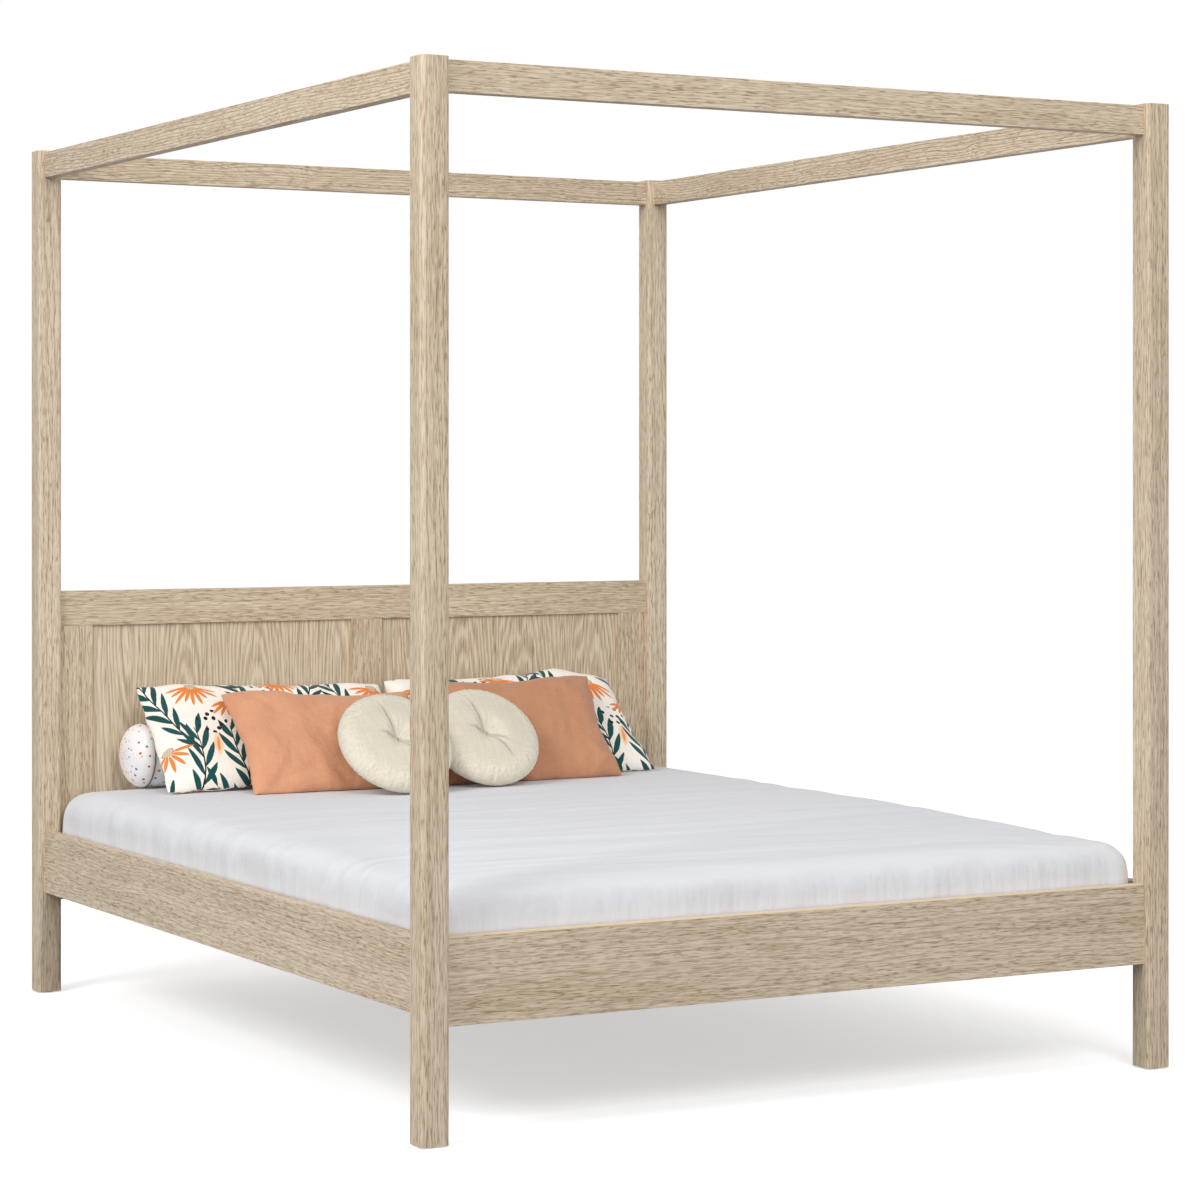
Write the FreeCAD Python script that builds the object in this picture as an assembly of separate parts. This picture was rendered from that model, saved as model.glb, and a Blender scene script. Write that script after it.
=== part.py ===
import FreeCAD, Part

import math
import os

# Four poster canopy bed in oak: four square posts joined by canopy rails at the top and by
# side rails, a foot rail and a framed headboard lower down, with a slatted base, a mattress in
# a fitted sheet, a bolster and six cushions. Millimetres, +Z up, +Y towards the head.
# The origin is on the floor at the centre of the four posts' outline.

Vector = FreeCAD.Vector

# Overall size, over the posts
bed_width = 1724.0
bed_length = 2136.0
bed_height = 2000.0

# Posts and their glides
post_size = 58.0
post_edge_radius = 9.5
arris = 1.0
glide_radius = 19.0
glide_height = 3.0
glide_chamfer = 1.0

# Rails: all one thickness, centred on the posts
rail_thickness = 28.0
canopy_rail_height = 60.0
canopy_rail_drop = 4.5
lower_rail_top = 383.0
side_rail_height = 144.5
foot_rail_height = 165.0

# Headboard: a top and a bottom rail, three stiles and two panels in grooves
headboard_top = 952.5
head_top_rail_height = 83.0
head_bottom_rail_height = 165.0
stile_width = 82.0
panel_thickness = 12.0
panel_in_groove = 10.0
panel_clearance = 1.0

# Hanger bolts: one thread in the post, the other through a half-moon washer and a nut that sit
# in a round pocket in the rail
bolt_radius = 4.0
bolt_in_post = 40.0
bolt_clearance = 0.5
pocket_radius = 16.0
pocket_distance = 52.0
pocket_past_middle = 8.0
washer_clearance = 0.2
washer_width = 14.0
washer_flat = 6.0
nut_across_flats = 13.0
nut_height = 6.5
side_bolt_drops = (28.0, 98.0)
foot_bolt_drops = (45.0, 120.0)
lower_dowel_drops = (63.0,)

# Dowels and cam fittings
dowel_radius = 4.0
dowel_length = 30.0
canopy_dowel_offset = 18.0
head_dowel_offset = 28.0
stile_dowel_offset = 18.0
cam_radius = 7.5
cam_past_middle = 6.0
cam_distance = 34.0
cam_bolt_radius = 3.0
cam_bolt_in_post = 12.0
cam_bolt_clearance = 0.5

# Slatted base
ledge_size = 25.0
ledge_bottom = 240.0
ledge_end_gap = 5.0
slat_count = 14
slat_width = 70.0
slat_thickness = 18.0
slat_side_gap = 7.0
slat_end_gap = 8.0
slat_arris = 2.0
tape_width = 25.0
tape_thickness = 1.2
tape_offset = 560.0

# Middle beam and the bracket at each of its ends
beam_width = 30.0
beam_height = 40.0
beam_wall = 2.0
beam_end_gap = 1.0
bracket_plate = 3.0
bracket_width = 100.0
bracket_reach = 40.0
bracket_side_gap = 0.5
bracket_top_gap = 3.0

# Countersunk wood screws
screw_radius = 2.0
screw_head_radius = 4.0
screw_head_height = 2.5
screw_tip = 4.0
long_screw = 40.0
short_screw = 20.0
ledge_screw_count = 7
ledge_screw_margin = 110.0
bracket_screw_x = 36.0
bracket_screw_z = 11.0

# Mattress and fitted sheet
bedding_side_gap = 5.0
bedding_end_gap = 6.0
bedding_lift = 0.5
bedding_height = 202.5
bedding_corner_radius = 34.0
bedding_top_radius = 30.0
bedding_bottom_radius = 18.0
sheet_thickness = 1.2
sheet_tuck = 110.0
ticking_thickness = 15.0

# Bolster
bolster_radius = 75.0
bolster_length = 1354.0
bolster_end_radius = 54.0
piping_radius = 2.0
piping_inset = 56.0

# Cushions: width across the bed, height up the slope, thickness, lean from upright
lean = 42.0
cushion_end_radius = 18.0
printed_width = 640.0
printed_height = 303.0
printed_thickness = 60.0
printed_middles = (-326.0, 332.0)
plain_width = 490.0
plain_height = 296.0
plain_thickness = 80.0
plain_middles = (-230.0, 270.0)
round_radius = 138.0
round_thickness = 72.0
round_lean = 45.0
round_places = ((-149.0, 116.0), (114.0, 56.0))

# Air between soft pieces, so that each lifts off freely
soft_gap = 2.0
cushion_gap = 8.0
rest_gap = 0.6

# Places that several pieces share
post_x = (bed_width - post_size) / 2
post_y = (bed_length - post_size) / 2
face_x = post_x - post_size / 2
face_y = post_y - post_size / 2
inner_x = post_x - rail_thickness / 2
inner_y = post_y - rail_thickness / 2
ledge_top = ledge_bottom + ledge_size
slat_top = ledge_top + slat_thickness
head_opening_top = headboard_top - head_top_rail_height
bedding_bottom = slat_top + bedding_lift
bedding_top = bedding_bottom + bedding_height


def block(x, y, z):
    """A box between the low and high values given for each axis."""
    low = Vector(x[0], y[0], z[0])
    return Part.makeBox(x[1] - x[0], y[1] - y[0], z[1] - z[0], low)


def rod(radius, start, end):
    """A cylinder from one point to another."""
    return Part.makeCylinder(radius, (end - start).Length, start, end - start)


def cut(body, tools):
    """The body with every tool taken out of it."""
    return body.cut(Part.makeCompound(tools)) if tools else body


def save(name, *solids):
    """Write one node, a single solid or a group of separate ones."""
    shape = solids[0] if len(solids) == 1 else Part.makeCompound(solids)
    shape.exportStep(f"parts/{name}.step")


def soften(body, radius, axis):
    """Round the straight edges that run along one axis."""
    edges = []
    for edge in body.Edges:
        if abs(edge.tangentAt(edge.FirstParameter).dot(axis)) > 0.999:
            edges.append(edge)
    return body.makeFillet(radius, edges)


X = Vector(1, 0, 0)
Y = Vector(0, 1, 0)
Z = Vector(0, 0, 1)


# Joints between a rail and a post. `end` is the middle of the rail's end at the joint's height,
# `along` points from the post into the rail and `face` to the rail's side with the pocket.

class Joint:
    """The fittings of one joint, and the holes they need in the post and in the rail."""

    def __init__(self, end, along, face):
        self.end = end
        self.along = along
        self.face = face
        self.bolts = []
        self.washers = []
        self.nuts = []
        self.dowels = []
        self.cams = []
        self.cam_bolts = []
        self.in_post = []
        self.in_rail = []

    def at(self, height, distance):
        """A point on the rail's middle plane, a distance in from the post's face."""
        return Vector(self.end.x, self.end.y, height) + self.along * distance

    def add_bolt(self, height):
        """A hanger bolt with its half-moon washer and nut in a pocket."""
        seat = self.at(height, pocket_distance - pocket_radius + washer_flat)
        middle = self.at(height, pocket_distance)
        mouth = middle + self.face * (rail_thickness / 2)
        bolt = rod(bolt_radius, self.at(height, -bolt_in_post), middle)
        bore = rod(bolt_radius + bolt_clearance, self.at(height, 0), middle)
        disc = rod(pocket_radius - washer_clearance, middle - self.face * (washer_width / 2),
                   middle + self.face * (washer_width / 2))
        beyond = rod(2 * pocket_radius, seat, seat + self.along * (4 * pocket_radius))
        across = self.face.cross(self.along)
        corners = []
        for corner in range(7):
            angle = math.radians(60 * corner)
            reach = nut_across_flats / 2 / math.cos(math.radians(30))
            side = self.face * (reach * math.cos(angle)) + across * (reach * math.sin(angle))
            corners.append(seat + side)
        nut = Part.Face(Part.makePolygon(corners)).extrude(self.along * nut_height)
        self.bolts.append(bolt)
        self.washers.append(disc.cut(beyond).cut(bore))
        self.nuts.append(nut.cut(bolt))
        self.in_post.append(bolt)
        floor = middle - self.face * pocket_past_middle
        self.in_rail += [bore, rod(pocket_radius, floor, mouth)]

    def add_dowel(self, height):
        """A wooden dowel, half in the post and half in the rail."""
        dowel = rod(dowel_radius, self.at(height, -dowel_length / 2),
                    self.at(height, dowel_length / 2))
        self.dowels.append(dowel)
        self.in_post.append(dowel)
        self.in_rail.append(dowel)

    def add_cam(self, height):
        """A cam that pulls the rail onto a bolt screwed into the post."""
        middle = self.at(height, cam_distance)
        mouth = middle + self.face * (rail_thickness / 2)
        housing = rod(cam_radius, middle - self.face * cam_past_middle, mouth)
        bolt = rod(cam_bolt_radius, self.at(height, -cam_bolt_in_post), middle)
        bore = rod(cam_bolt_radius + cam_bolt_clearance, self.at(height, 0), middle)
        self.cams.append(housing.cut(bore))
        self.cam_bolts.append(bolt)
        self.in_post.append(bolt)
        self.in_rail += [housing, bore]


def side_ends(side):
    """The foot and head ends of a rail that runs along the bed at one side."""
    for end in (-1, 1):
        yield end, Joint(Vector(side * post_x, end * face_y, 0), Y * -end, X * -side)


def cross_ends(end, pocket_side):
    """The left and right ends of a rail that runs across the bed."""
    for side in (-1, 1):
        joint = Joint(Vector(side * face_x, end * post_y, 0), X * -side, Y * pocket_side)
        yield side, joint


joints = []
post_cuts = {(side, end): [] for side in (-1, 1) for end in (-1, 1)}


def keep(joint, side, end):
    """Note a finished joint and the holes that it needs in its post."""
    joints.append(joint)
    post_cuts[side, end] += joint.in_post


def lengthwise(side, low, high):
    """A plain rail between the two posts of one side."""
    across = (side * post_x - rail_thickness / 2, side * post_x + rail_thickness / 2)
    return soften(block(across, (-face_y, face_y), (low, high)), arris, Y)


def crosswise(end, low, high):
    """A plain rail between the two posts of one end."""
    across = (end * post_y - rail_thickness / 2, end * post_y + rail_thickness / 2)
    return soften(block((-face_x, face_x), across, (low, high)), arris, X)


# Canopy: four rails on dowels, each end drawn up by a cam

canopy_high = bed_height - canopy_rail_drop
canopy_low = canopy_high - canopy_rail_height
canopy_middle = (canopy_low + canopy_high) / 2


def fit_canopy_end(joint):
    """Two dowels with a cam fitting between them."""
    joint.add_dowel(canopy_middle - canopy_dowel_offset)
    joint.add_cam(canopy_middle)
    joint.add_dowel(canopy_middle + canopy_dowel_offset)


def make_canopy():
    """The left, right, foot and head rails of the canopy."""
    for side, name in ((-1, "left"), (1, "right")):
        holes = []
        for end, joint in side_ends(side):
            fit_canopy_end(joint)
            keep(joint, side, end)
            holes += joint.in_rail
        save(f"canopy_rail_{name}", cut(lengthwise(side, canopy_low, canopy_high), holes))
    for end, name in ((-1, "foot"), (1, "head")):
        holes = []
        for side, joint in cross_ends(end, -end):
            fit_canopy_end(joint)
            keep(joint, side, end)
            holes += joint.in_rail
        save(f"canopy_rail_{name}", cut(crosswise(end, canopy_low, canopy_high), holes))


# Screws

def screw(head, direction, length):
    """A countersunk wood screw with its head's face at `head`."""
    neck = head + direction * screw_head_height
    shoulder = head + direction * (length - screw_tip)
    cone = Part.makeCone(screw_head_radius, screw_radius, screw_head_height, head, direction)
    tip = Part.makeCone(screw_radius, 0, screw_tip, shoulder, direction)
    return cone.fuse([rod(screw_radius, neck, shoulder), tip]).removeSplitter()


def ledge_screws(side):
    """The screws that hold one ledge to its side rail."""
    reach = face_y - ledge_screw_margin
    height = ledge_bottom + ledge_size / 2
    screws = []
    for number in range(ledge_screw_count):
        y = -reach + number * 2 * reach / (ledge_screw_count - 1)
        head = Vector(side * (inner_x - ledge_size), y, height)
        screws.append(screw(head, X * side, long_screw))
    return screws


def slat_middles():
    """The place of each slat along the bed."""
    reach = face_y - slat_end_gap - slat_width / 2
    return [-reach + number * 2 * reach / (slat_count - 1) for number in range(slat_count)]


def slat_screws(side):
    """The screws that hold the first and last slats to one ledge."""
    x = side * (inner_x - ledge_size / 2)
    middles = slat_middles()
    return [screw(Vector(x, y, slat_top), Z * -1, long_screw) for y in (middles[0], middles[-1])]


def bracket_screws(end):
    """The four screws of one beam bracket."""
    screws = []
    for x in (-bracket_screw_x, bracket_screw_x):
        for height in (-bracket_screw_z, bracket_screw_z):
            middle = ledge_top - bracket_top_gap - (beam_height - bracket_top_gap) / 2
            head = Vector(x, end * (inner_y - bracket_plate), middle + height)
            screws.append(screw(head, Y * end, short_screw))
    return screws


# Lower rails

def make_lower_rails():
    """The two side rails and the foot rail, each on bolts and dowels."""
    for side, name in ((-1, "left"), (1, "right")):
        holes = ledge_screws(side)
        for end, joint in side_ends(side):
            for drop in side_bolt_drops:
                joint.add_bolt(lower_rail_top - drop)
            for drop in lower_dowel_drops:
                joint.add_dowel(lower_rail_top - drop)
            keep(joint, side, end)
            holes += joint.in_rail
        rail = lengthwise(side, lower_rail_top - side_rail_height, lower_rail_top)
        save(f"side_rail_{name}", cut(rail, holes))
    holes = bracket_screws(-1)
    for side, joint in cross_ends(-1, 1):
        fit_wide_rail(joint)
        keep(joint, side, -1)
        holes += joint.in_rail
    rail = crosswise(-1, lower_rail_top - foot_rail_height, lower_rail_top)
    save("foot_rail", cut(rail, holes))


def fit_wide_rail(joint):
    """Two bolts and the dowels of the foot rail or the headboard's bottom rail."""
    for drop in foot_bolt_drops:
        joint.add_bolt(lower_rail_top - drop)
    for drop in lower_dowel_drops:
        joint.add_dowel(lower_rail_top - drop)


# Headboard

stile_middles = {
    "left": -face_x + stile_width / 2,
    "centre": 0.0,
    "right": face_x - stile_width / 2,
}


def stile_dowels():
    """The dowels between the stiles and the two headboard rails."""
    dowels = []
    for middle in stile_middles.values():
        for x in (middle - stile_dowel_offset, middle + stile_dowel_offset):
            for z in (lower_rail_top, head_opening_top):
                start = Vector(x, post_y, z - dowel_length / 2)
                dowels.append(rod(dowel_radius, start, start + Z * dowel_length))
    return dowels


def panel(side, spare):
    """One headboard panel, or with some spare the groove it sits in."""
    grow = panel_in_groove + spare
    near = stile_width / 2 - grow
    far = face_x - stile_width + grow
    across = (near, far) if side > 0 else (-far, -near)
    depth = (post_y - panel_thickness / 2, post_y + panel_thickness / 2)
    return block(across, depth, (lower_rail_top - grow, head_opening_top + grow))


def make_headboard():
    """Two rails on the posts, three stiles between them and the two panels."""
    grooves = [panel(side, panel_clearance) for side in (-1, 1)]
    dowels = stile_dowels()
    middle = headboard_top - head_top_rail_height / 2
    top_holes = []
    bottom_holes = bracket_screws(1)
    for side, joint in cross_ends(1, 1):
        joint.add_bolt(middle)
        joint.add_dowel(middle - head_dowel_offset)
        joint.add_dowel(middle + head_dowel_offset)
        keep(joint, side, 1)
        top_holes += joint.in_rail
    for side, joint in cross_ends(1, 1):
        fit_wide_rail(joint)
        keep(joint, side, 1)
        bottom_holes += joint.in_rail
    top = crosswise(1, head_opening_top, headboard_top)
    bottom = crosswise(1, lower_rail_top - head_bottom_rail_height, lower_rail_top)
    save("headboard_top_rail", cut(top, top_holes + grooves + dowels))
    save("headboard_bottom_rail", cut(bottom, bottom_holes + grooves + dowels))
    depth = (post_y - rail_thickness / 2, post_y + rail_thickness / 2)
    for name, place in stile_middles.items():
        across = (place - stile_width / 2, place + stile_width / 2)
        stile = block(across, depth, (lower_rail_top, head_opening_top))
        save(f"headboard_stile_{name}", cut(stile, grooves + dowels))
    for side, name in ((-1, "left"), (1, "right")):
        save(f"headboard_panel_{name}", panel(side, 0))
    save("headboard_dowels", *dowels)


# Posts

def make_posts():
    """The four posts, drilled for their joints, and a glide under each."""
    glides = []
    half = post_size / 2
    for (side, end), holes in post_cuts.items():
        x = side * post_x
        y = end * post_y
        post = block((x - half, x + half), (y - half, y + half), (glide_height, bed_height))
        post = soften(post, post_edge_radius, Z)
        rim = [edge for edge in post.Edges if edge.CenterOfMass.z > bed_height - arris / 10]
        post = post.makeFillet(arris, rim)
        lengths = {-1: "foot", 1: "head"}
        sides = {-1: "left", 1: "right"}
        save(f"post_{lengths[end]}_{sides[side]}", cut(post, holes))
        glide = rod(glide_radius, Vector(x, y, 0), Vector(x, y, glide_height))
        foot = [edge for edge in glide.Edges if abs(edge.BoundBox.ZMax) < glide_height / 2]
        glides.append(glide.makeChamfer(glide_chamfer, foot))
    save("post_glides", *glides)


def save_fittings():
    """The fittings of every joint between a rail and a post."""
    for name, kind in (("rail_bolts", "bolts"), ("half_moon_washers", "washers"),
                       ("rail_nuts", "nuts"), ("rail_dowels", "dowels"),
                       ("cam_locks", "cams"), ("cam_bolts", "cam_bolts")):
        pieces = [piece for joint in joints for piece in getattr(joint, kind)]
        save(name, *pieces)


# Slatted base

def make_base():
    """Ledges, slats on tapes, and the middle beam in its brackets."""
    long_screws = []
    for side, name in ((-1, "left"), (1, "right")):
        fasteners = ledge_screws(side) + slat_screws(side)
        long_screws += fasteners
        across = sorted((side * inner_x, side * (inner_x - ledge_size)))
        reach = face_y - ledge_end_gap
        ledge = block(across, (-reach, reach), (ledge_bottom, ledge_top))
        save(f"slat_ledge_{name}", cut(ledge, fasteners))
    save("ledge_screws", *long_screws)
    half = inner_x - slat_side_gap
    for number, y in enumerate(slat_middles(), start=1):
        depth = (y - slat_width / 2, y + slat_width / 2)
        slat = soften(block((-half, half), depth, (ledge_top, slat_top)), slat_arris, X)
        if number in (1, slat_count):
            slat = cut(slat, long_screws)
        save(f"slat_{number:02d}", slat)
    reach = face_y - slat_end_gap
    for side, name in ((-1, "left"), (1, "right")):
        middle = side * tape_offset
        across = (middle - tape_width / 2, middle + tape_width / 2)
        save(f"slat_tape_{name}",
             block(across, (-reach, reach), (ledge_top - tape_thickness, ledge_top)))
    beam_bottom = ledge_top - beam_height
    reach = inner_y - bracket_plate - beam_end_gap
    tube = block((-beam_width / 2, beam_width / 2), (-reach, reach), (beam_bottom, ledge_top))
    hollow = beam_width / 2 - beam_wall
    bore = block((-hollow, hollow), (-reach - 1, reach + 1),
                 (beam_bottom + beam_wall, ledge_top - beam_wall))
    save("middle_beam", tube.cut(bore))
    short_screws = []
    for end, name in ((-1, "foot"), (1, "head")):
        fasteners = bracket_screws(end)
        short_screws += fasteners
        save(f"beam_bracket_{name}", cut(beam_bracket(end), fasteners))
    save("bracket_screws", *short_screws)


def beam_bracket(end):
    """A back plate with an open tray that the beam drops into."""
    low = ledge_top - beam_height - bracket_plate
    high = ledge_top - bracket_top_gap
    inner = beam_width / 2 + bracket_side_gap
    outer = inner + bracket_plate
    rail = end * inner_y
    plate = sorted((rail, rail - end * bracket_plate))
    tray = sorted((rail, rail - end * (bracket_plate + bracket_reach)))
    room = sorted((rail - end * bracket_plate, rail - end * (2 * bracket_reach)))
    body = block((-bracket_width / 2, bracket_width / 2), plate, (low, high))
    body = body.fuse(block((-outer, outer), tray, (low, high))).removeSplitter()
    return body.cut(block((-inner, inner), room, (low + bracket_plate, high + 1)))


# Mattress and fitted sheet

def bedding_block(inset):
    """The mattress's outer form with its rounded edges, taken in by an inset."""
    half_x = inner_x - bedding_side_gap - inset
    half_y = inner_y - bedding_end_gap - inset
    low = bedding_bottom + inset
    high = bedding_top - inset
    body = block((-half_x, half_x), (-half_y, half_y), (low, high))
    body = soften(body, bedding_corner_radius - inset, Z)
    top = [edge for edge in body.Edges if edge.BoundBox.ZMin > high - 1]
    body = body.makeFillet(bedding_top_radius - inset, top)
    bottom = [edge for edge in body.Edges if edge.BoundBox.ZMax < low + 1]
    return body.makeFillet(bedding_bottom_radius - inset, bottom)


def make_bedding():
    """The mattress, hollow inside its quilted cover, and the sheet pulled over it."""
    outer = bedding_block(0)
    core = bedding_block(sheet_thickness)
    half_x = inner_x - bedding_side_gap - sheet_tuck
    half_y = inner_y - bedding_end_gap - sheet_tuck
    opening = block((-half_x, half_x), (-half_y, half_y),
                    (bedding_bottom - 1, bedding_bottom + 2 * sheet_thickness))
    save("fitted_sheet", outer.cut(core).cut(opening))
    save("mattress", core.cut(bedding_block(sheet_thickness + ticking_thickness)))


# Bolster and cushions. Each leans on the one behind, with a gap, and rests just above the sheet.

bolster_y = inner_y - soft_gap - piping_radius - bolster_radius
bolster_z = bedding_top + rest_gap + piping_radius + bolster_radius


def make_bolster():
    """The bolster with its domed ends, and the piping round each end."""
    half = bolster_length / 2
    left = Vector(-half, bolster_y, bolster_z)
    body = rod(bolster_radius, left, left + X * bolster_length)
    rims = [edge for edge in body.Edges if edge.BoundBox.XLength < 1]
    body = body.makeFillet(bolster_end_radius, rims)
    rings = []
    for side in (-1, 1):
        middle = Vector(side * (half - piping_inset), bolster_y, bolster_z)
        ring = Part.makeTorus(bolster_radius, piping_radius, middle, X)
        rings.append(ring.cut(body))
    save("bolster", body)
    save("bolster_piping", *rings)


def slope(angle):
    """Unit vectors up a leaning cushion and out of its front."""
    turn = math.radians(angle)
    up = Vector(0, math.sin(turn), math.cos(turn))
    out = Vector(0, -math.cos(turn), math.sin(turn))
    return up, out


def foot_in_front(behind, height, distance):
    """Where a leaning plane stands, at a height, a distance in front of a point."""
    up, out = slope(lean)
    y = behind.y + (distance - (height - behind.z) * out.z) / out.y
    return Vector(0, y, height)


def cushion(middle, width, height, thickness, foot):
    """A leaning cushion with a rounded outline, from the middle of its bottom edge."""
    up, out = slope(lean)
    half = thickness / 2
    start = Vector(middle - width / 2, foot.y, foot.z)
    top = start + up * (height - thickness)
    outline = Part.Wire([
        Part.LineSegment(start + out * half, top + out * half).toShape(),
        Part.Arc(top + out * half, top + up * half, top - out * half).toShape(),
        Part.LineSegment(top - out * half, start - out * half).toShape(),
        Part.Arc(start - out * half, start - up * half, start + out * half).toShape(),
    ])
    body = Part.Face(outline).extrude(X * width)
    ends = [edge for edge in body.Edges if edge.BoundBox.XLength < 1]
    return body.makeFillet(cushion_end_radius, ends)


def round_cushion(x, y):
    """A round cushion that leans back, with a half-round rim."""
    up, out = slope(round_lean)
    rim = round_thickness / 2
    disc = round_radius - rim
    centre = Vector(x, y, bedding_top + rest_gap + rim + disc * up.z)
    inner = up * disc
    outline = Part.Wire([
        Part.LineSegment(centre - out * rim, centre - out * rim + inner).toShape(),
        Part.Arc(centre - out * rim + inner, centre + up * round_radius,
                 centre + out * rim + inner).toShape(),
        Part.LineSegment(centre + out * rim + inner, centre + out * rim).toShape(),
        Part.LineSegment(centre + out * rim, centre - out * rim).toShape(),
    ])
    return Part.Face(outline).revolve(centre, out, 360)


def make_cushions():
    """Two printed cushions, two plain ones in front of them and two round ones."""
    bolster = Vector(0, bolster_y, bolster_z)
    reach = bolster_radius + piping_radius + soft_gap + printed_thickness / 2
    printed_z = bedding_top + rest_gap + printed_thickness / 2
    printed_foot = foot_in_front(bolster, printed_z, reach)
    reach = printed_thickness / 2 + cushion_gap + plain_thickness / 2
    plain_z = bedding_top + rest_gap + plain_thickness / 2
    plain_foot = foot_in_front(printed_foot, plain_z, reach)
    names = ("left", "right")
    for name, middle in zip(names, printed_middles):
        save(f"printed_cushion_{name}",
             cushion(middle, printed_width, printed_height, printed_thickness, printed_foot))
    for name, middle in zip(names, plain_middles):
        save(f"plain_cushion_{name}",
             cushion(middle, plain_width, plain_height, plain_thickness, plain_foot))
    for name, (x, ahead) in zip(names, round_places):
        save(f"round_cushion_{name}", round_cushion(x, plain_foot.y - ahead))


os.makedirs("parts", exist_ok=True)
make_canopy()
make_lower_rails()
make_headboard()
make_posts()
save_fittings()
make_base()
make_bedding()
make_bolster()
make_cushions()
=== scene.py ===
"""A four poster canopy bed of pale oiled oak, with a mattress, a fitted sheet, a bolster and six cushions.

The oak frame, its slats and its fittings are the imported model's own nodes, and get their finishes here.
Every soft piece is built here, round the place that its node holds. All lengths are in metres, with +Z up
and the foot of the bed towards -Y.
"""

import logging
import math
from dataclasses import dataclass, field
from enum import Enum
from typing import Any, Dict, List, Optional, Sequence, Tuple, Union

import bpy
import numpy as np
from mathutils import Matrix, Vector


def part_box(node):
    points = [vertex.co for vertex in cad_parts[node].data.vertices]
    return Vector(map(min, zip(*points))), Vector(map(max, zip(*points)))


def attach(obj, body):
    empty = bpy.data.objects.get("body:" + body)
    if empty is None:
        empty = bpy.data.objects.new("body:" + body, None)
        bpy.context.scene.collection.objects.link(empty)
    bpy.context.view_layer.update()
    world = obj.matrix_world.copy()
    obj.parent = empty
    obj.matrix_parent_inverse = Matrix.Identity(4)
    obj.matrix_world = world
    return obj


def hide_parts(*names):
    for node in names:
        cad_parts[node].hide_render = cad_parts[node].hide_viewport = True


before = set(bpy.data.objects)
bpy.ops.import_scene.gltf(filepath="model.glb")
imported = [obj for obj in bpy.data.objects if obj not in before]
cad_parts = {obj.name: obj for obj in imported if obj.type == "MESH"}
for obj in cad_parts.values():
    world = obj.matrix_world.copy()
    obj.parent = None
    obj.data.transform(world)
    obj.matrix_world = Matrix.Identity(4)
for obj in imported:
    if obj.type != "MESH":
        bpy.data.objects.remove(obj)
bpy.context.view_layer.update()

log = logging.getLogger("bed")
Array = np.ndarray
Material = bpy.types.Material
Piece = bpy.types.Object
Pair = Tuple[float, float]
Colour = Tuple[float, float, float, float]
MM = 0.001


def paint(red: float, green: float, blue: float) -> Colour:
    """Turns a display colour of 0 to 255 into the linear colour that shaders take.

    Args:
        red, green, blue: display values, 0 to 255.

    Returns:
        The linear red, green, blue and an alpha of 1.
    """
    share = np.array([red, green, blue]) / 255
    linear = np.where(share <= 0.04045, share / 12.92, ((share + 0.055) / 1.055) ** 2.4)
    return (float(linear[0]), float(linear[1]), float(linear[2]), 1.0)


def smooth(values: Array, low: float, high: float) -> Array:
    """Rises smoothly from 0 at low to 1 at high: 3t squared less 2t cubed, where t is the clipped share."""
    share = np.clip((values - low) / (high - low), 0, 1)
    return share * share * (3 - 2 * share)


# ------------------------------------------------------------------------------
# Shader toolkit


class Signal:
    """A shader socket that can stand in a Python expression, each operator adding one Math node."""

    def __init__(self, recipe: "Recipe", socket: bpy.types.NodeSocket) -> None:
        """Wraps a socket of the recipe's tree."""
        self.recipe = recipe
        self.socket = socket

    def math(self, operation: str, *terms: "Number") -> "Signal":
        """Adds a Math node.

        Args:
            operation: the Math node's operation.
            *terms: its inputs in order, numbers or signals.

        Returns:
            The node's value.
        """
        return self.recipe.node("ShaderNodeMath", {"operation": operation}, dict(enumerate(terms)))

    def __add__(self, other: "Number") -> "Signal":
        """self + other."""
        return self.math("ADD", self, other)

    def __radd__(self, other: float) -> "Signal":
        """other + self."""
        return self.math("ADD", other, self)

    def __sub__(self, other: "Number") -> "Signal":
        """self - other."""
        return self.math("SUBTRACT", self, other)

    def __rsub__(self, other: float) -> "Signal":
        """other - self."""
        return self.math("SUBTRACT", other, self)

    def __mul__(self, other: "Number") -> "Signal":
        """self * other."""
        return self.math("MULTIPLY", self, other)

    def __rmul__(self, other: float) -> "Signal":
        """other * self."""
        return self.math("MULTIPLY", other, self)

    def __truediv__(self, other: "Number") -> "Signal":
        """self / other."""
        return self.math("DIVIDE", self, other)

    def __pow__(self, other: "Number") -> "Signal":
        """self to a power."""
        return self.math("POWER", self, other)

    def __abs__(self) -> "Signal":
        """The size of self without its sign."""
        return self.math("ABSOLUTE", self)

    def root(self) -> "Signal":
        """The square root of self."""
        return self.math("SQRT", self)

    def sine(self) -> "Signal":
        """The sine of self, in radians."""
        return self.math("SINE", self)

    def sign(self) -> "Signal":
        """1, 0 or -1, as self is."""
        return self.math("SIGN", self)

    def floor(self) -> "Signal":
        """The whole number below self."""
        return self.math("FLOOR", self)

    def fraction(self) -> "Signal":
        """What is left of self above its floor."""
        return self.math("FRACT", self)

    def most(self, other: "Number") -> "Signal":
        """The larger of the two."""
        return self.math("MAXIMUM", self, other)

    def step(self, low: float, high: float, start: float = 0.0, end: float = 1.0) -> "Signal":
        """Goes smoothly from start, where self is low or less, to end, where self is high or more.

        Args:
            low, high: the values between which it changes.
            start, end: what it gives at those values.

        Returns:
            The stepped value.
        """
        values = {0: self, 1: low, 2: high, 3: start, 4: end}
        settings = {"interpolation_type": "SMOOTHSTEP", "clamp": True}
        return self.recipe.node("ShaderNodeMapRange", settings, values)


Number = Union[Signal, float]
Ink = Union[Signal, Colour]


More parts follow.
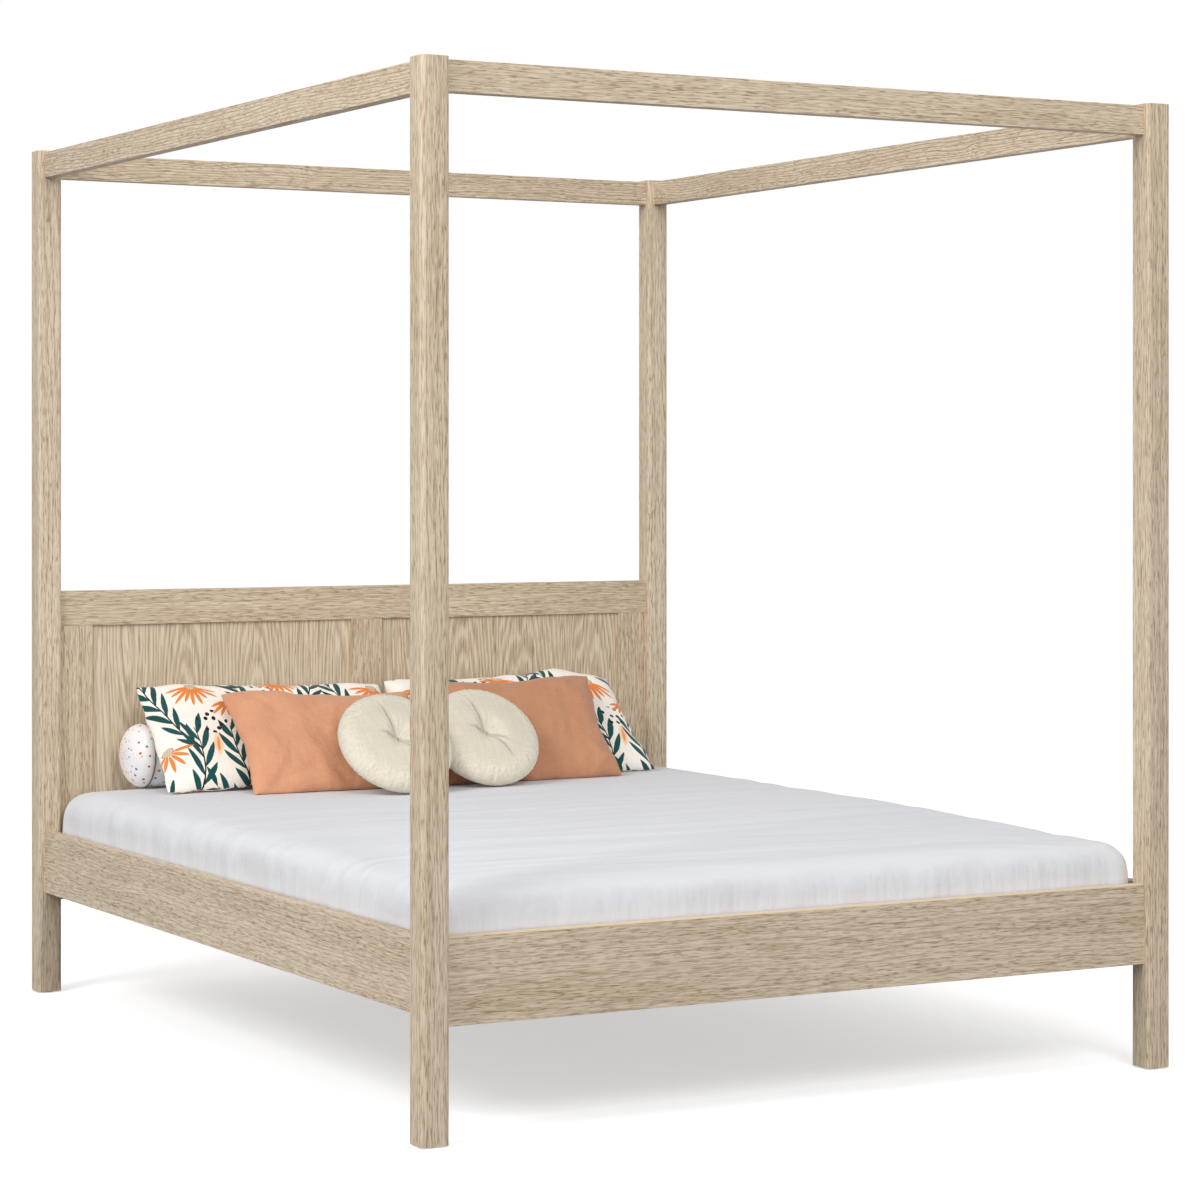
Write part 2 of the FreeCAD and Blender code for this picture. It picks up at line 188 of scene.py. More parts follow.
class Recipe:
    """The node tree of one material, or of the sky, built up by expressions."""

    def __init__(self, name: str, sky: bool = False) -> None:
        """Starts an empty material or sky of that name."""
        self.made = bpy.data.worlds.new(name) if sky else bpy.data.materials.new(name)
        self.made.use_nodes = True
        self.tree = self.made.node_tree
        self.tree.nodes.clear()

    def node(self, kind: str, settings: Optional[Dict[str, Any]] = None,
             inputs: Optional[Dict[Any, Any]] = None, output: Union[int, str] = 0) -> Signal:
        """Adds any node.

        Args:
            kind: the node's type.
            settings: its properties, which are set before its sockets.
            inputs: a value or a signal for each named or numbered socket.
            output: the name or number of the socket to return.

        Returns:
            That output.
        """
        made = self.tree.nodes.new(kind)
        for name, value in (settings or {}).items():
            setattr(made, name, value)
        for name, value in (inputs or {}).items():
            if isinstance(value, Signal):
                self.tree.links.new(value.socket, made.inputs[name])
            else:
                made.inputs[name].default_value = value
        return Signal(self, made.outputs[output])

    def place(self) -> Signal:
        """The point in the bed's frame."""
        return self.node("ShaderNodeTexCoord", output="Object")

    def cloth(self) -> Signal:
        """The point on the flat cloth, in metres, from the piece's UV map."""
        return self.node("ShaderNodeTexCoord", output="UV")

    def split(self, vector: Signal) -> List[Signal]:
        """The three parts of a vector."""
        first = self.node("ShaderNodeSeparateXYZ", inputs={0: vector})
        return [Signal(self, out) for out in first.socket.node.outputs]

    def join(self, x: Number, y: Number, z: Number = 0.0) -> Signal:
        """A vector of three numbers."""
        return self.node("ShaderNodeCombineXYZ", inputs={0: x, 1: y, 2: z})

    def shift(self, vector: Signal, offset: Sequence[float]) -> Signal:
        """A vector moved by an offset."""
        return self.node("ShaderNodeVectorMath", {"operation": "ADD"}, {0: vector, 1: tuple(offset)})

    def stretch(self, vector: Signal, scale: Sequence[float]) -> Signal:
        """A vector multiplied part by part."""
        return self.node("ShaderNodeVectorMath", {"operation": "MULTIPLY"}, {0: vector, 1: tuple(scale)})

    def noise(self, vector: Signal, scale: float = 1.0, detail: float = 2.0, rough: float = 0.5) -> Signal:
        """Cloudy noise of 0 to 1.

        Args:
            vector: where to read it.
            scale: clouds per unit.
            detail: how many finer layers it has.
            rough: how strong those layers are.

        Returns:
            The noise.
        """
        return self.node("ShaderNodeTexNoise", inputs={
            "Vector": vector, "Scale": scale, "Detail": detail, "Roughness": rough})

    def mix(self, share: Number, first: Ink, second: Ink,
            mode: str = "MIX") -> Signal:
        """Blends two colours.

        Args:
            share: how much of the second colour, 0 to 1.
            first, second: the colours.
            mode: the Mix node's blend type.

        Returns:
            The blended colour.
        """
        settings = {"data_type": "RGBA", "blend_type": mode, "clamp_factor": True}
        return self.node("ShaderNodeMix", settings, {0: share, 6: first, 7: second}, output=2)

    def bump(self, height: Signal, depth: float, strength: float = 1.0,
             under: Optional[Signal] = None) -> Signal:
        """Turns a height into a normal.

        Args:
            height: 0 to 1.
            depth: what a height of 1 stands for, in metres.
            strength: the share of the effect.
            under: a normal that this one adds to.

        Returns:
            The normal.
        """
        inputs: Dict[Any, Any] = {"Strength": strength, "Distance": depth, "Height": height}
        if under is not None:
            inputs["Normal"] = under
        return self.node("ShaderNodeBump", inputs=inputs)

    def finish(self, colour: Ink, rough: Number, normal: Optional[Signal] = None,
               **others: Any) -> Material:
        """Ends the recipe in a Principled shader.

        Args:
            colour: the base colour.
            rough: the roughness.
            normal: a bumped normal.
            **others: other sockets, with underscores for spaces.

        Returns:
            The material.
        """
        inputs: Dict[Any, Any] = {"Base Color": colour, "Roughness": rough}
        if normal is not None:
            inputs["Normal"] = normal
        inputs.update({name.replace("_", " "): value for name, value in others.items()})
        surface = self.node("ShaderNodeBsdfPrincipled", inputs=inputs)
        end = self.tree.nodes.new("ShaderNodeOutputMaterial")
        self.tree.links.new(surface.socket, end.inputs["Surface"])
        return self.made


# ------------------------------------------------------------------------------
# Finishes of the frame


class Grain(Enum):
    """The direction in which a board's grain runs: the axis along it, across it and through it."""

    SIDEWAYS = (0, 1, 2)
    LENGTHWAYS = (1, 0, 2)
    UPRIGHT = (2, 0, 1)


class Figure(Enum):
    """How a board was cut: straight grained, or in upright leaves with arched rings."""

    STRAIGHT = "straight"
    ARCHED = "arched"


@dataclass(frozen=True)
class Oak:
    """Pale oiled oak.

    The rings are counted from the tree's heart, which lies outside a straight board and in the face of an
    arched leaf. Each ring starts with a dark line of early wood, broken into dashes. Fibres are noise drawn
    out along the grain, and pores are its shortest and darkest streaks.
    """

    name: str
    grain: Grain
    seed: float
    figure: Figure = Figure.STRAIGHT
    top: Optional[float] = None
    bright: Colour = paint(232, 217, 194)
    pale: Colour = paint(223, 206, 181)
    middle: Colour = paint(205, 186, 159)
    dark: Colour = paint(172, 147, 119)
    pore: Colour = paint(142, 114, 88)
    # The colour of the painted highlight on a board's top face and top edge.
    top_highlight: Colour = paint(234, 211, 178)
    heart_beside: float = 0.21
    heart_behind: float = 0.20
    leaf_width: float = 0.19
    leaf_peak: float = 0.62
    leaf_slope: float = 0.13
    ring_width: float = 6.4 * MM
    ring_show: float = 0.62
    broken: float = 0.70
    waver: float = 0.030
    sway_pace: float = 1.6
    dash: float = 46.0
    contrast: float = 1.15
    # Shade darkens the board's whole tone; on the headboard's boards it is raised as painted shade.
    shade: float = 0.42

    def drawn(self, recipe: Recipe, spot: Sequence[Signal], pace: float, fineness: float,
              detail: float = 1.0) -> Signal:
        """Noise drawn out along the grain, read at this board's own place in the tree.

        Args:
            recipe: the material's recipe.
            spot: the point along, across and through the board.
            pace: clouds per metre along the grain.
            fineness: clouds per metre across it.
            detail: how many finer layers it has.

        Returns:
            The noise.
        """
        along, across, depth = spot
        offset = [17.31 * math.sin(self.seed * turn) for turn in (1.0, 2.0, 3.0)]
        drawn = recipe.join(along * pace, across * fineness, depth * fineness)
        return recipe.noise(recipe.shift(drawn, offset), 1.0, detail)

    def heart_distance(self, along: Signal, across: Signal, depth: Signal) -> Signal:
        """The distance of a point from the tree's heart, counted in rings.

        A straight board's heart line runs 0.3 m beside it, nearly in line with it. An arched leaf's heart
        line crosses its face, so that its rings come out as long nested arches: the distance is the root of
        the squares of the place across the leaf and of the slope times the place along it.

        Args:
            along, across, depth: the point along, across and through the board.

        Returns:
            The distance in rings.
        """
        if self.figure is Figure.STRAIGHT:
            side = across + self.heart_beside + 0.02 * math.sin(self.seed)
            through = depth + self.heart_behind
            far = (side * side + through * through).root() + along * 0.006 * math.sin(self.seed * 2.3)
            return far / self.ring_width
        leaf = (across / self.leaf_width).floor()
        inside = ((across / self.leaf_width).fraction() - 0.5) * self.leaf_width
        chance = (leaf * 12.9898 + self.seed).sine() * 43.7585
        lift = along - self.leaf_peak + (chance.fraction() - 0.5) * 0.5
        aside = inside + (chance.fraction() - 0.5) * 0.09
        slope = lift * self.leaf_slope
        far = (aside * aside + slope * slope + 0.0002).root()
        return far / (self.ring_width * 1.15)

    def material(self) -> Material:
        """The oak as a material for one board."""
        recipe = Recipe(self.name)
        parts = recipe.split(recipe.place())
        along, across, depth = straight = [parts[axis] for axis in self.grain.value]
        sway = self.drawn(recipe, straight, self.sway_pace, 5, 2.0)
        wander = self.drawn(recipe, straight, 7, 22)
        bent = across + (sway - 0.5) * self.waver + (wander - 0.5) * 0.0025
        spot = (along, bent, depth)
        rings = self.heart_distance(*spot)
        band = recipe.noise(recipe.join(rings * 0.45, along * 0.5, self.seed), 1.0, 2.0, 0.62)
        wobble = self.drawn(recipe, spot, 2.5, 30)
        early = (rings + (wobble - 0.5) * 3.0).fraction()
        fibre = self.drawn(recipe, spot, self.dash * 0.5, 420)
        fleck = self.drawn(recipe, spot, self.dash, 470, 0.5)
        cloud = self.drawn(recipe, spot, 2.2, 16, 2.0)
        tone = (band - 0.5) * self.contrast + (cloud - 0.5) * 0.95 + self.shade
        base = recipe.mix(tone.step(0.18, 0.80), self.pale, self.middle)
        base = recipe.mix(fibre.step(0.46, 0.66) * 0.40, base, self.dark)
        base = recipe.mix((0.5 - fibre).step(0.02, 0.14) * 0.45, base, self.bright)
        ring_line = (1 - early).step(0.64, 0.90) * fleck.step(0.38, 0.54, 1 - self.broken, 1.0)
        base = recipe.mix(ring_line * self.ring_show, base, self.dark)
        if self.figure is Figure.ARCHED:
            late_line = early.step(0.40, 0.60) * (1 - early).step(0.05, 0.25)
            base = recipe.mix(late_line * 0.6, base, self.bright)
        pores = (fleck + (fibre - 0.5) * 0.25).step(0.58, 0.67) * band.step(0.35, 0.6, 0.55, 1.0)
        base = recipe.mix(pores * 0.62, base, self.pore)
        # Painted highlight: on a board given a top height, the top face and top edge are lighter and warmer,
        # for the light falling on them.
        if self.top is not None:
            edge = parts[2].step(self.top - 2.2 * MM, self.top - 0.8 * MM)
            base = recipe.mix(edge * 0.85, base, self.top_highlight)
        relief = 1 - fibre.step(0.45, 0.75) * 0.5 - pores * 0.5
        normal = recipe.bump(relief, 0.35 * MM, 0.6)
        return recipe.finish(base, 0.50 + fibre * 0.16, normal, Specular_IOR_Level=0.35)


WAVY_CUT = {"waver": 0.090, "sway_pace": 2.4, "ring_show": 0.95, "broken": 0.15}
# Painted shade: the headboard's frame boards are darker as a whole, for the lesser light that falls on them.
HEADBOARD_PAINTED_SHADE = {"shade": 0.60}
# The panels' shade holds their own darker tone and the headboard's painted shade as well.
VENEER_CUT_AND_PAINTED_SHADE = {"figure": Figure.ARCHED, "dash": 20.0, "ring_width": 8 * MM, "ring_show": 0.42, "broken": 0.35,
              "contrast": 1.725, "shade": 0.72}


@dataclass(frozen=True)
class PlainTimber:
    """Birch, pine or beech: fine fibres along one axis between two close tones, with faint broad rings."""

    name: str
    grain: Grain
    light: Colour
    dark: Colour
    ring_width: float = 9 * MM
    rough: float = 0.55

    def material(self) -> Material:
        """The timber as a material."""
        recipe = Recipe(self.name)
        parts = recipe.split(recipe.place())
        along, across, depth = (parts[axis] for axis in self.grain.value)
        sway = recipe.noise(recipe.join(along * 2, across * 6, depth * 6))
        bent = across + (sway - 0.5) * 0.02
        ring = recipe.noise(recipe.join(bent / self.ring_width, along, depth / self.ring_width))
        fibre = recipe.noise(recipe.join(along * 14, bent * 500, depth * 500))
        tone = ring * 0.55 + fibre * 0.45
        colour = recipe.mix(tone.step(0.32, 0.70), self.light, self.dark)
        normal = recipe.bump(fibre, 0.25 * MM, 0.5)
        return recipe.finish(colour, self.rough + (fibre - 0.5) * 0.2, normal)


SPANGLE = 260.0
ZINC_COLOURS = (paint(196, 198, 200), paint(160, 163, 168))


@dataclass(frozen=True)
class Steel:
    """A fitting's steel, bright zinc or black paint, with a mottled coat and fine scratches."""

    name: str
    light: Colour
    dark: Colour
    metallic: float
    rough: float

    def material(self) -> Material:
        """The steel as a material."""
        recipe = Recipe(self.name)
        spot = recipe.noise(recipe.place(), SPANGLE, 3.0, 0.6)
        scratch = recipe.noise(recipe.stretch(recipe.place(), (900, 90, 700)))
        colour = recipe.mix(spot.step(0.35, 0.7), self.light, self.dark)
        rough = self.rough + (spot - 0.5) * 0.22 + scratch.step(0.6, 0.8) * 0.12
        normal = recipe.bump(spot * 0.6 + scratch * 0.4, 0.12 * MM, 0.5)
        return recipe.finish(colour, rough, normal, Metallic=self.metallic)


@dataclass(frozen=True)
class CappedCam:
    """A cam's zinc body, with a thin oak-coloured cap where it meets the rail's inner face.

    The inner faces lie in two pairs of upright planes, so the cap is where a point is within them.
    """

    side_plane: float
    end_plane: float
    name: str = "capped_cam"

    def material(self) -> Material:
        """The cam as a material."""
        recipe = Recipe(self.name)
        x, y, _ = recipe.split(recipe.place())
        skin = 0.4 * MM
        inside = abs(x).step(self.side_plane, self.side_plane + skin, 1.0, 0.0)
        cap = inside * abs(y).step(self.end_plane, self.end_plane + skin, 1.0, 0.0)
        fibre = recipe.noise(recipe.join(x * 30, y * 30, 0.0))
        wood = recipe.mix(fibre.step(0.3, 0.7), paint(204, 188, 162), paint(188, 170, 144))
        spot = recipe.noise(recipe.place(), SPANGLE, 3.0, 0.6)
        zinc = recipe.mix(spot.step(0.35, 0.7), *ZINC_COLOURS)
        colour = recipe.mix(cap, zinc, wood)
        return recipe.finish(colour, cap * 0.2 + 0.36, Metallic=1 - cap)


@dataclass(frozen=True)
class GlidePlastic:
    """The dark nylon of the glides, finely spark eroded."""

    name: str = "glide_nylon"

    def material(self) -> Material:
        """The nylon as a material."""
        recipe = Recipe(self.name)
        grit = recipe.noise(recipe.place(), 900.0)
        wear = recipe.noise(recipe.place(), 70.0, 3.0)
        colour = recipe.mix(wear.step(0.35, 0.7), paint(52, 49, 46), paint(74, 70, 66))
        return recipe.finish(colour, 0.45 + wear * 0.25, recipe.bump(grit, 0.15 * MM, 0.6))


@dataclass(frozen=True)
class WebbingTape:
    """Twill cotton tape: slanting ribs, with a thread line along each selvedge."""

    name: str = "slat_webbing"

    def material(self) -> Material:
        """The tape as a material."""
        recipe = Recipe(self.name)
        x, y, _ = recipe.split(recipe.place())
        twill = ((x + y) * (2 * math.pi / (1.6 * MM))).sine() * 0.5 + 0.5
        fuzz = recipe.noise(recipe.place(), 1400.0)
        colour = recipe.mix(twill * 0.6 + fuzz * 0.4, paint(206, 199, 184), paint(233, 228, 216))
        return recipe.finish(colour, 0.85, recipe.bump(twill * 0.7 + fuzz * 0.3, 0.3 * MM, 0.8))


# ------------------------------------------------------------------------------
# Finishes of the bedding


@dataclass(frozen=True)
class Weave:
    """A plain weave, from the cloth's own flat coordinates.

    Each set of threads is noise drawn out along its thread. Thick threads, or slubs, show as longer and wider
    streaks, and a soft crumple lies under both.
    """

    pitch: float
    slub: float
    crumple: float
    crumple_size: float = 0.02

    def height(self, recipe: Recipe) -> Tuple[Signal, Signal]:
        """The cloth's relief.

        Args:
            recipe: the material's recipe.

        Returns:
            The threads' height and the slubs' height, each 0 to 1.
        """
        u, v, _ = recipe.split(recipe.cloth())
        warp = recipe.noise(recipe.join(u / self.pitch, v / (self.pitch * 14)), 1.0, 1.0)
        weft = recipe.noise(recipe.join(u / (self.pitch * 14), v / self.pitch, 7.7), 1.0, 1.0)
        thick = recipe.noise(recipe.join(u / (self.pitch * 60), v / (self.pitch * 3.4), 3.1))
        tall = recipe.noise(recipe.join(u / (self.pitch * 3.4), v / (self.pitch * 60), 9.4))
        threads = warp * 0.5 + weft * 0.5
        slubs = thick * 0.5 + tall * 0.5
        return threads, slubs

    def normal(self, recipe: Recipe, threads: Signal, slubs: Signal) -> Signal:
        """The normal of the threads, slubs and crumple together."""
        soft = recipe.noise(recipe.cloth(), 1 / self.crumple_size, 3.0, 0.55)
        under = recipe.bump(soft, self.crumple, 0.8)
        return recipe.bump(threads * 0.6 + slubs * 0.4, self.slub, 0.8, under)


@dataclass(frozen=True)
class PlainCloth:
    """One colour of woven cloth, lighter on its thick threads and a little uneven in its dye."""

    name: str
    light: Colour
    dark: Colour
    weave: Weave
    sheen: float = 0.25
    rough: float = 0.88
    streaks: float = 0.6

    def material(self) -> Material:
        """The cloth as a material."""
        recipe = Recipe(self.name)
        threads, slubs = self.weave.height(recipe)
        dye = recipe.noise(recipe.cloth(), 16.0, 3.0)
        tone = (slubs - 0.5) * self.streaks + (threads - 0.5) * 0.4 + (dye - 0.5) * 0.7 + 0.5
        colour = recipe.mix(tone.step(0.1, 0.9), self.dark, self.light)
        normal = self.weave.normal(recipe, threads, slubs)
        return recipe.finish(colour, self.rough + (threads - 0.5) * 0.1, normal, Sheen_Weight=self.sheen,
                             Sheen_Roughness=0.45, Specular_IOR_Level=0.2)


@dataclass(frozen=True)
class TuftedLinen:
    """Cream linen on a round cushion, whose flat coordinates start at its tuft.

    Crinkles run outwards, packed round the rim: noise over the direction from the tuft and the distance
    from it. A few grooves run out from the tuft, each with its own heading in degrees and its own reach.
    """

    name: str = "cream_linen"
    light: Colour = paint(230, 223, 205)
    dark: Colour = paint(205, 197, 178)
    radius: float = 0.14
    grooves: Tuple[Pair, ...] = ((104.0, 0.122), (-64.0, 0.110), (-42.0, 0.070),
                                                (168.0, 0.055))

    def material(self) -> Material:
        """The linen as a material."""
        recipe = Recipe(self.name)
        weave = Weave(1.0 * MM, 0.5 * MM, 2.0 * MM, 0.016)
        threads, slubs = weave.height(recipe)
        u, v, _ = recipe.split(recipe.cloth())
        far = (u * u + v * v + 1e-6).root()
        round_rim = recipe.noise(recipe.join(u / far * 11, v / far * 11, far * 60), 1.0, 2.0, 0.6)
        rim = far.step(self.radius * 0.62, self.radius * 0.86)
        middle = far.step(self.radius * 0.08, self.radius * 0.5, 1.0, 0.0)
        rays = recipe.noise(recipe.join(u / far * 2.6, v / far * 2.6, far * 9), 1.0, 2.0, 0.5)
        crinkle = round_rim * rim + rays * middle
        drift = recipe.noise(recipe.cloth(), 34.0)
        for heading, reach in self.grooves:
            turn = math.radians(heading)
            along = u * math.cos(turn) + v * math.sin(turn)
            aside = abs(v * math.cos(turn) - u * math.sin(turn) + (drift - 0.5) * (9 * MM))
            ends = along.step(0.0, 4 * MM) * along.step(reach * 0.5, reach, 1.0, 0.0)
            crinkle = crinkle - aside.step(0.0, 5 * MM, 1.0, 0.0) * ends * 0.75
        # The colour follows the crinkles and grooves, darker in their hollows and lighter on their crests:
        # painted shade.
        tone = (slubs - 0.5) * 0.8 + (threads - 0.5) * 0.4 + (crinkle - 0.3) * 0.35 + 0.5
        colour = recipe.mix(tone.step(0.1, 0.9), self.dark, self.light)
        normal = recipe.bump(crinkle, 6 * MM, 0.9, weave.normal(recipe, threads, slubs))
        return recipe.finish(colour, 0.9 + (threads - 0.5) * 0.1, normal, Sheen_Weight=0.3,
                             Sheen_Roughness=0.45, Specular_IOR_Level=0.2)


@dataclass(frozen=True)
class SheetCotton:
    """White percale: a very fine weave.

    It is pulled into long shallow waves across the top, gathered on the sides, and finely ribbed there by the
    elastic below.
    """

    name: str = "sheet_cotton"
    shoulder: Pair = (0.42, 0.465)

    def material(self) -> Material:
        """The percale as a material."""
        recipe = Recipe(self.name)
        weave = Weave(0.7 * MM, 0.25 * MM, 0.9 * MM, 0.045)
        threads, slubs = weave.height(recipe)
        x, y, z = recipe.split(recipe.place())
        beside = z.step(*self.shoulder, 1.0, 0.0)
        ribs = (recipe.noise(recipe.join(x * 95, y * 95, z * 4), 1.0, 2.0, 0.6) - 0.5) * beside
        gathers = recipe.noise(recipe.join(x * 17, y * 17, z * 5), 1.0, 2.0, 0.5) * beside
        sway = recipe.noise(recipe.join(x * 1.3, y * 1.3, 4.0), 1.0, 1.0)
        pulled = recipe.noise(recipe.join(x * 1.5, y * 15 + sway * 5, 2.0), 1.0, 2.0, 0.45)
        pulled = pulled * (1 - beside) * y.step(-0.2, 0.75, 1.0, 0.25)
        # The sides' colour follows the ribs, darker in their hollows and lighter on their crests: painted
        # shade.
        tone = (slubs - 0.5) * 0.35 + ribs * 0.7 + 0.5
        colour = recipe.mix(tone.step(0.1, 0.9), paint(218, 220, 225), paint(228, 229, 234))
        normal = weave.normal(recipe, threads, slubs)
        normal = recipe.bump(pulled, 13 * MM, 0.9, recipe.bump(gathers, 9 * MM, 0.9, normal))
        normal = recipe.bump(ribs, 1.3 * MM, 0.8, normal)
        return recipe.finish(colour, 0.82, normal, Sheen_Weight=0.15, Sheen_Roughness=0.5,
                             Specular_IOR_Level=0.25)


@dataclass(frozen=True)
class Ticking:
    """Quilted mattress ticking: soft diamonds stitched into a knitted off-white cover."""

    name: str = "mattress_ticking"

    def material(self) -> Material:
        """The ticking as a material."""
        recipe = Recipe(self.name)
        x, y, _ = recipe.split(recipe.place())
        pitch = 0.09
        one = abs((((x + y) / pitch).fraction() - 0.5) * 2)
        two = abs((((x - y) / pitch).fraction() - 0.5) * 2)
        stitch = one.most(two)
        puff = 1 - stitch ** 6
        knit = recipe.noise(recipe.stretch(recipe.place(), (900, 500, 900)))
        # The colour is darker towards the stitch lines and lightest on the puffs: painted shade in the
        # quilt's hollows.
        colour = recipe.mix(puff * 0.7 + knit * 0.3, paint(196, 194, 190), paint(232, 230, 226))
        normal = recipe.bump(knit, 0.3 * MM, 0.6, recipe.bump(puff, 5 * MM, 0.9))
        return recipe.finish(colour, 0.9, normal)


@dataclass(frozen=True)
class DottedCotton:
    """White cotton scattered with small dots of four colours.

    The dots are the middles of Voronoi cells, and each cell's own chance picks its colour and size.
    """

    name: str = "dotted_cotton"
    spacing: float = 26 * MM
    dot: float = 3.5 * MM
    ground: Colour = paint(251, 248, 247)
    inks: Tuple[Colour, ...] = (paint(60, 138, 132), paint(214, 106, 42), paint(240, 190, 166),
                                paint(176, 196, 204))

    def material(self) -> Material:
        """The dotted cotton as a material."""
        recipe = Recipe(self.name)
        weave = Weave(0.7 * MM, 0.25 * MM, 0.8 * MM, 0.02)
        threads, slubs = weave.height(recipe)
        inputs = {"Vector": recipe.cloth(), "Scale": 1 / self.spacing, "Randomness": 0.75}
        near = recipe.node("ShaderNodeTexVoronoi", {"voronoi_dimensions": "2D"}, inputs, "Distance")
        chance = recipe.split(Signal(recipe, near.socket.node.outputs["Color"]))
        edge = near * self.spacing - (self.dot - 0.5 * MM + chance[1] * 0.7 * MM)
        spot = edge.step(-0.3 * MM, 0.3 * MM, 1.0, 0.0)
        ink: Ink = self.inks[0]
        for number, other in enumerate(self.inks[1:], start=1):
            border = number / len(self.inks)
            ink = recipe.mix(chance[0].step(border - 0.001, border + 0.001), ink, other)
        shade = recipe.mix(slubs.step(0.3, 0.7), paint(240, 236, 236), self.ground)
        colour = recipe.mix(spot, shade, ink)
        normal = weave.normal(recipe, threads, slubs)
        return recipe.finish(colour, 0.85, normal, Sheen_Weight=0.2, Specular_IOR_Level=0.2)


@dataclass(frozen=True)
class Sprig:
    """One leafy branch of the print: a bent stem with lens shaped leaves on alternate sides."""

    middle: Pair
    heading: float
    length: float
    bend: float = 1.2
    spacing: float = 44 * MM
    leaf: float = 78 * MM
    width: float = 14 * MM
    splay: float = 27.0


@dataclass(frozen=True)
class Bloom:
    """One flower of the print: a dome with petals fanned out below it, and a stem."""

    middle: Pair
    heading: float
    petal: float = 66 * MM
    width: float = 9.5 * MM
    fan: float = 86.0
    petals: int = 9


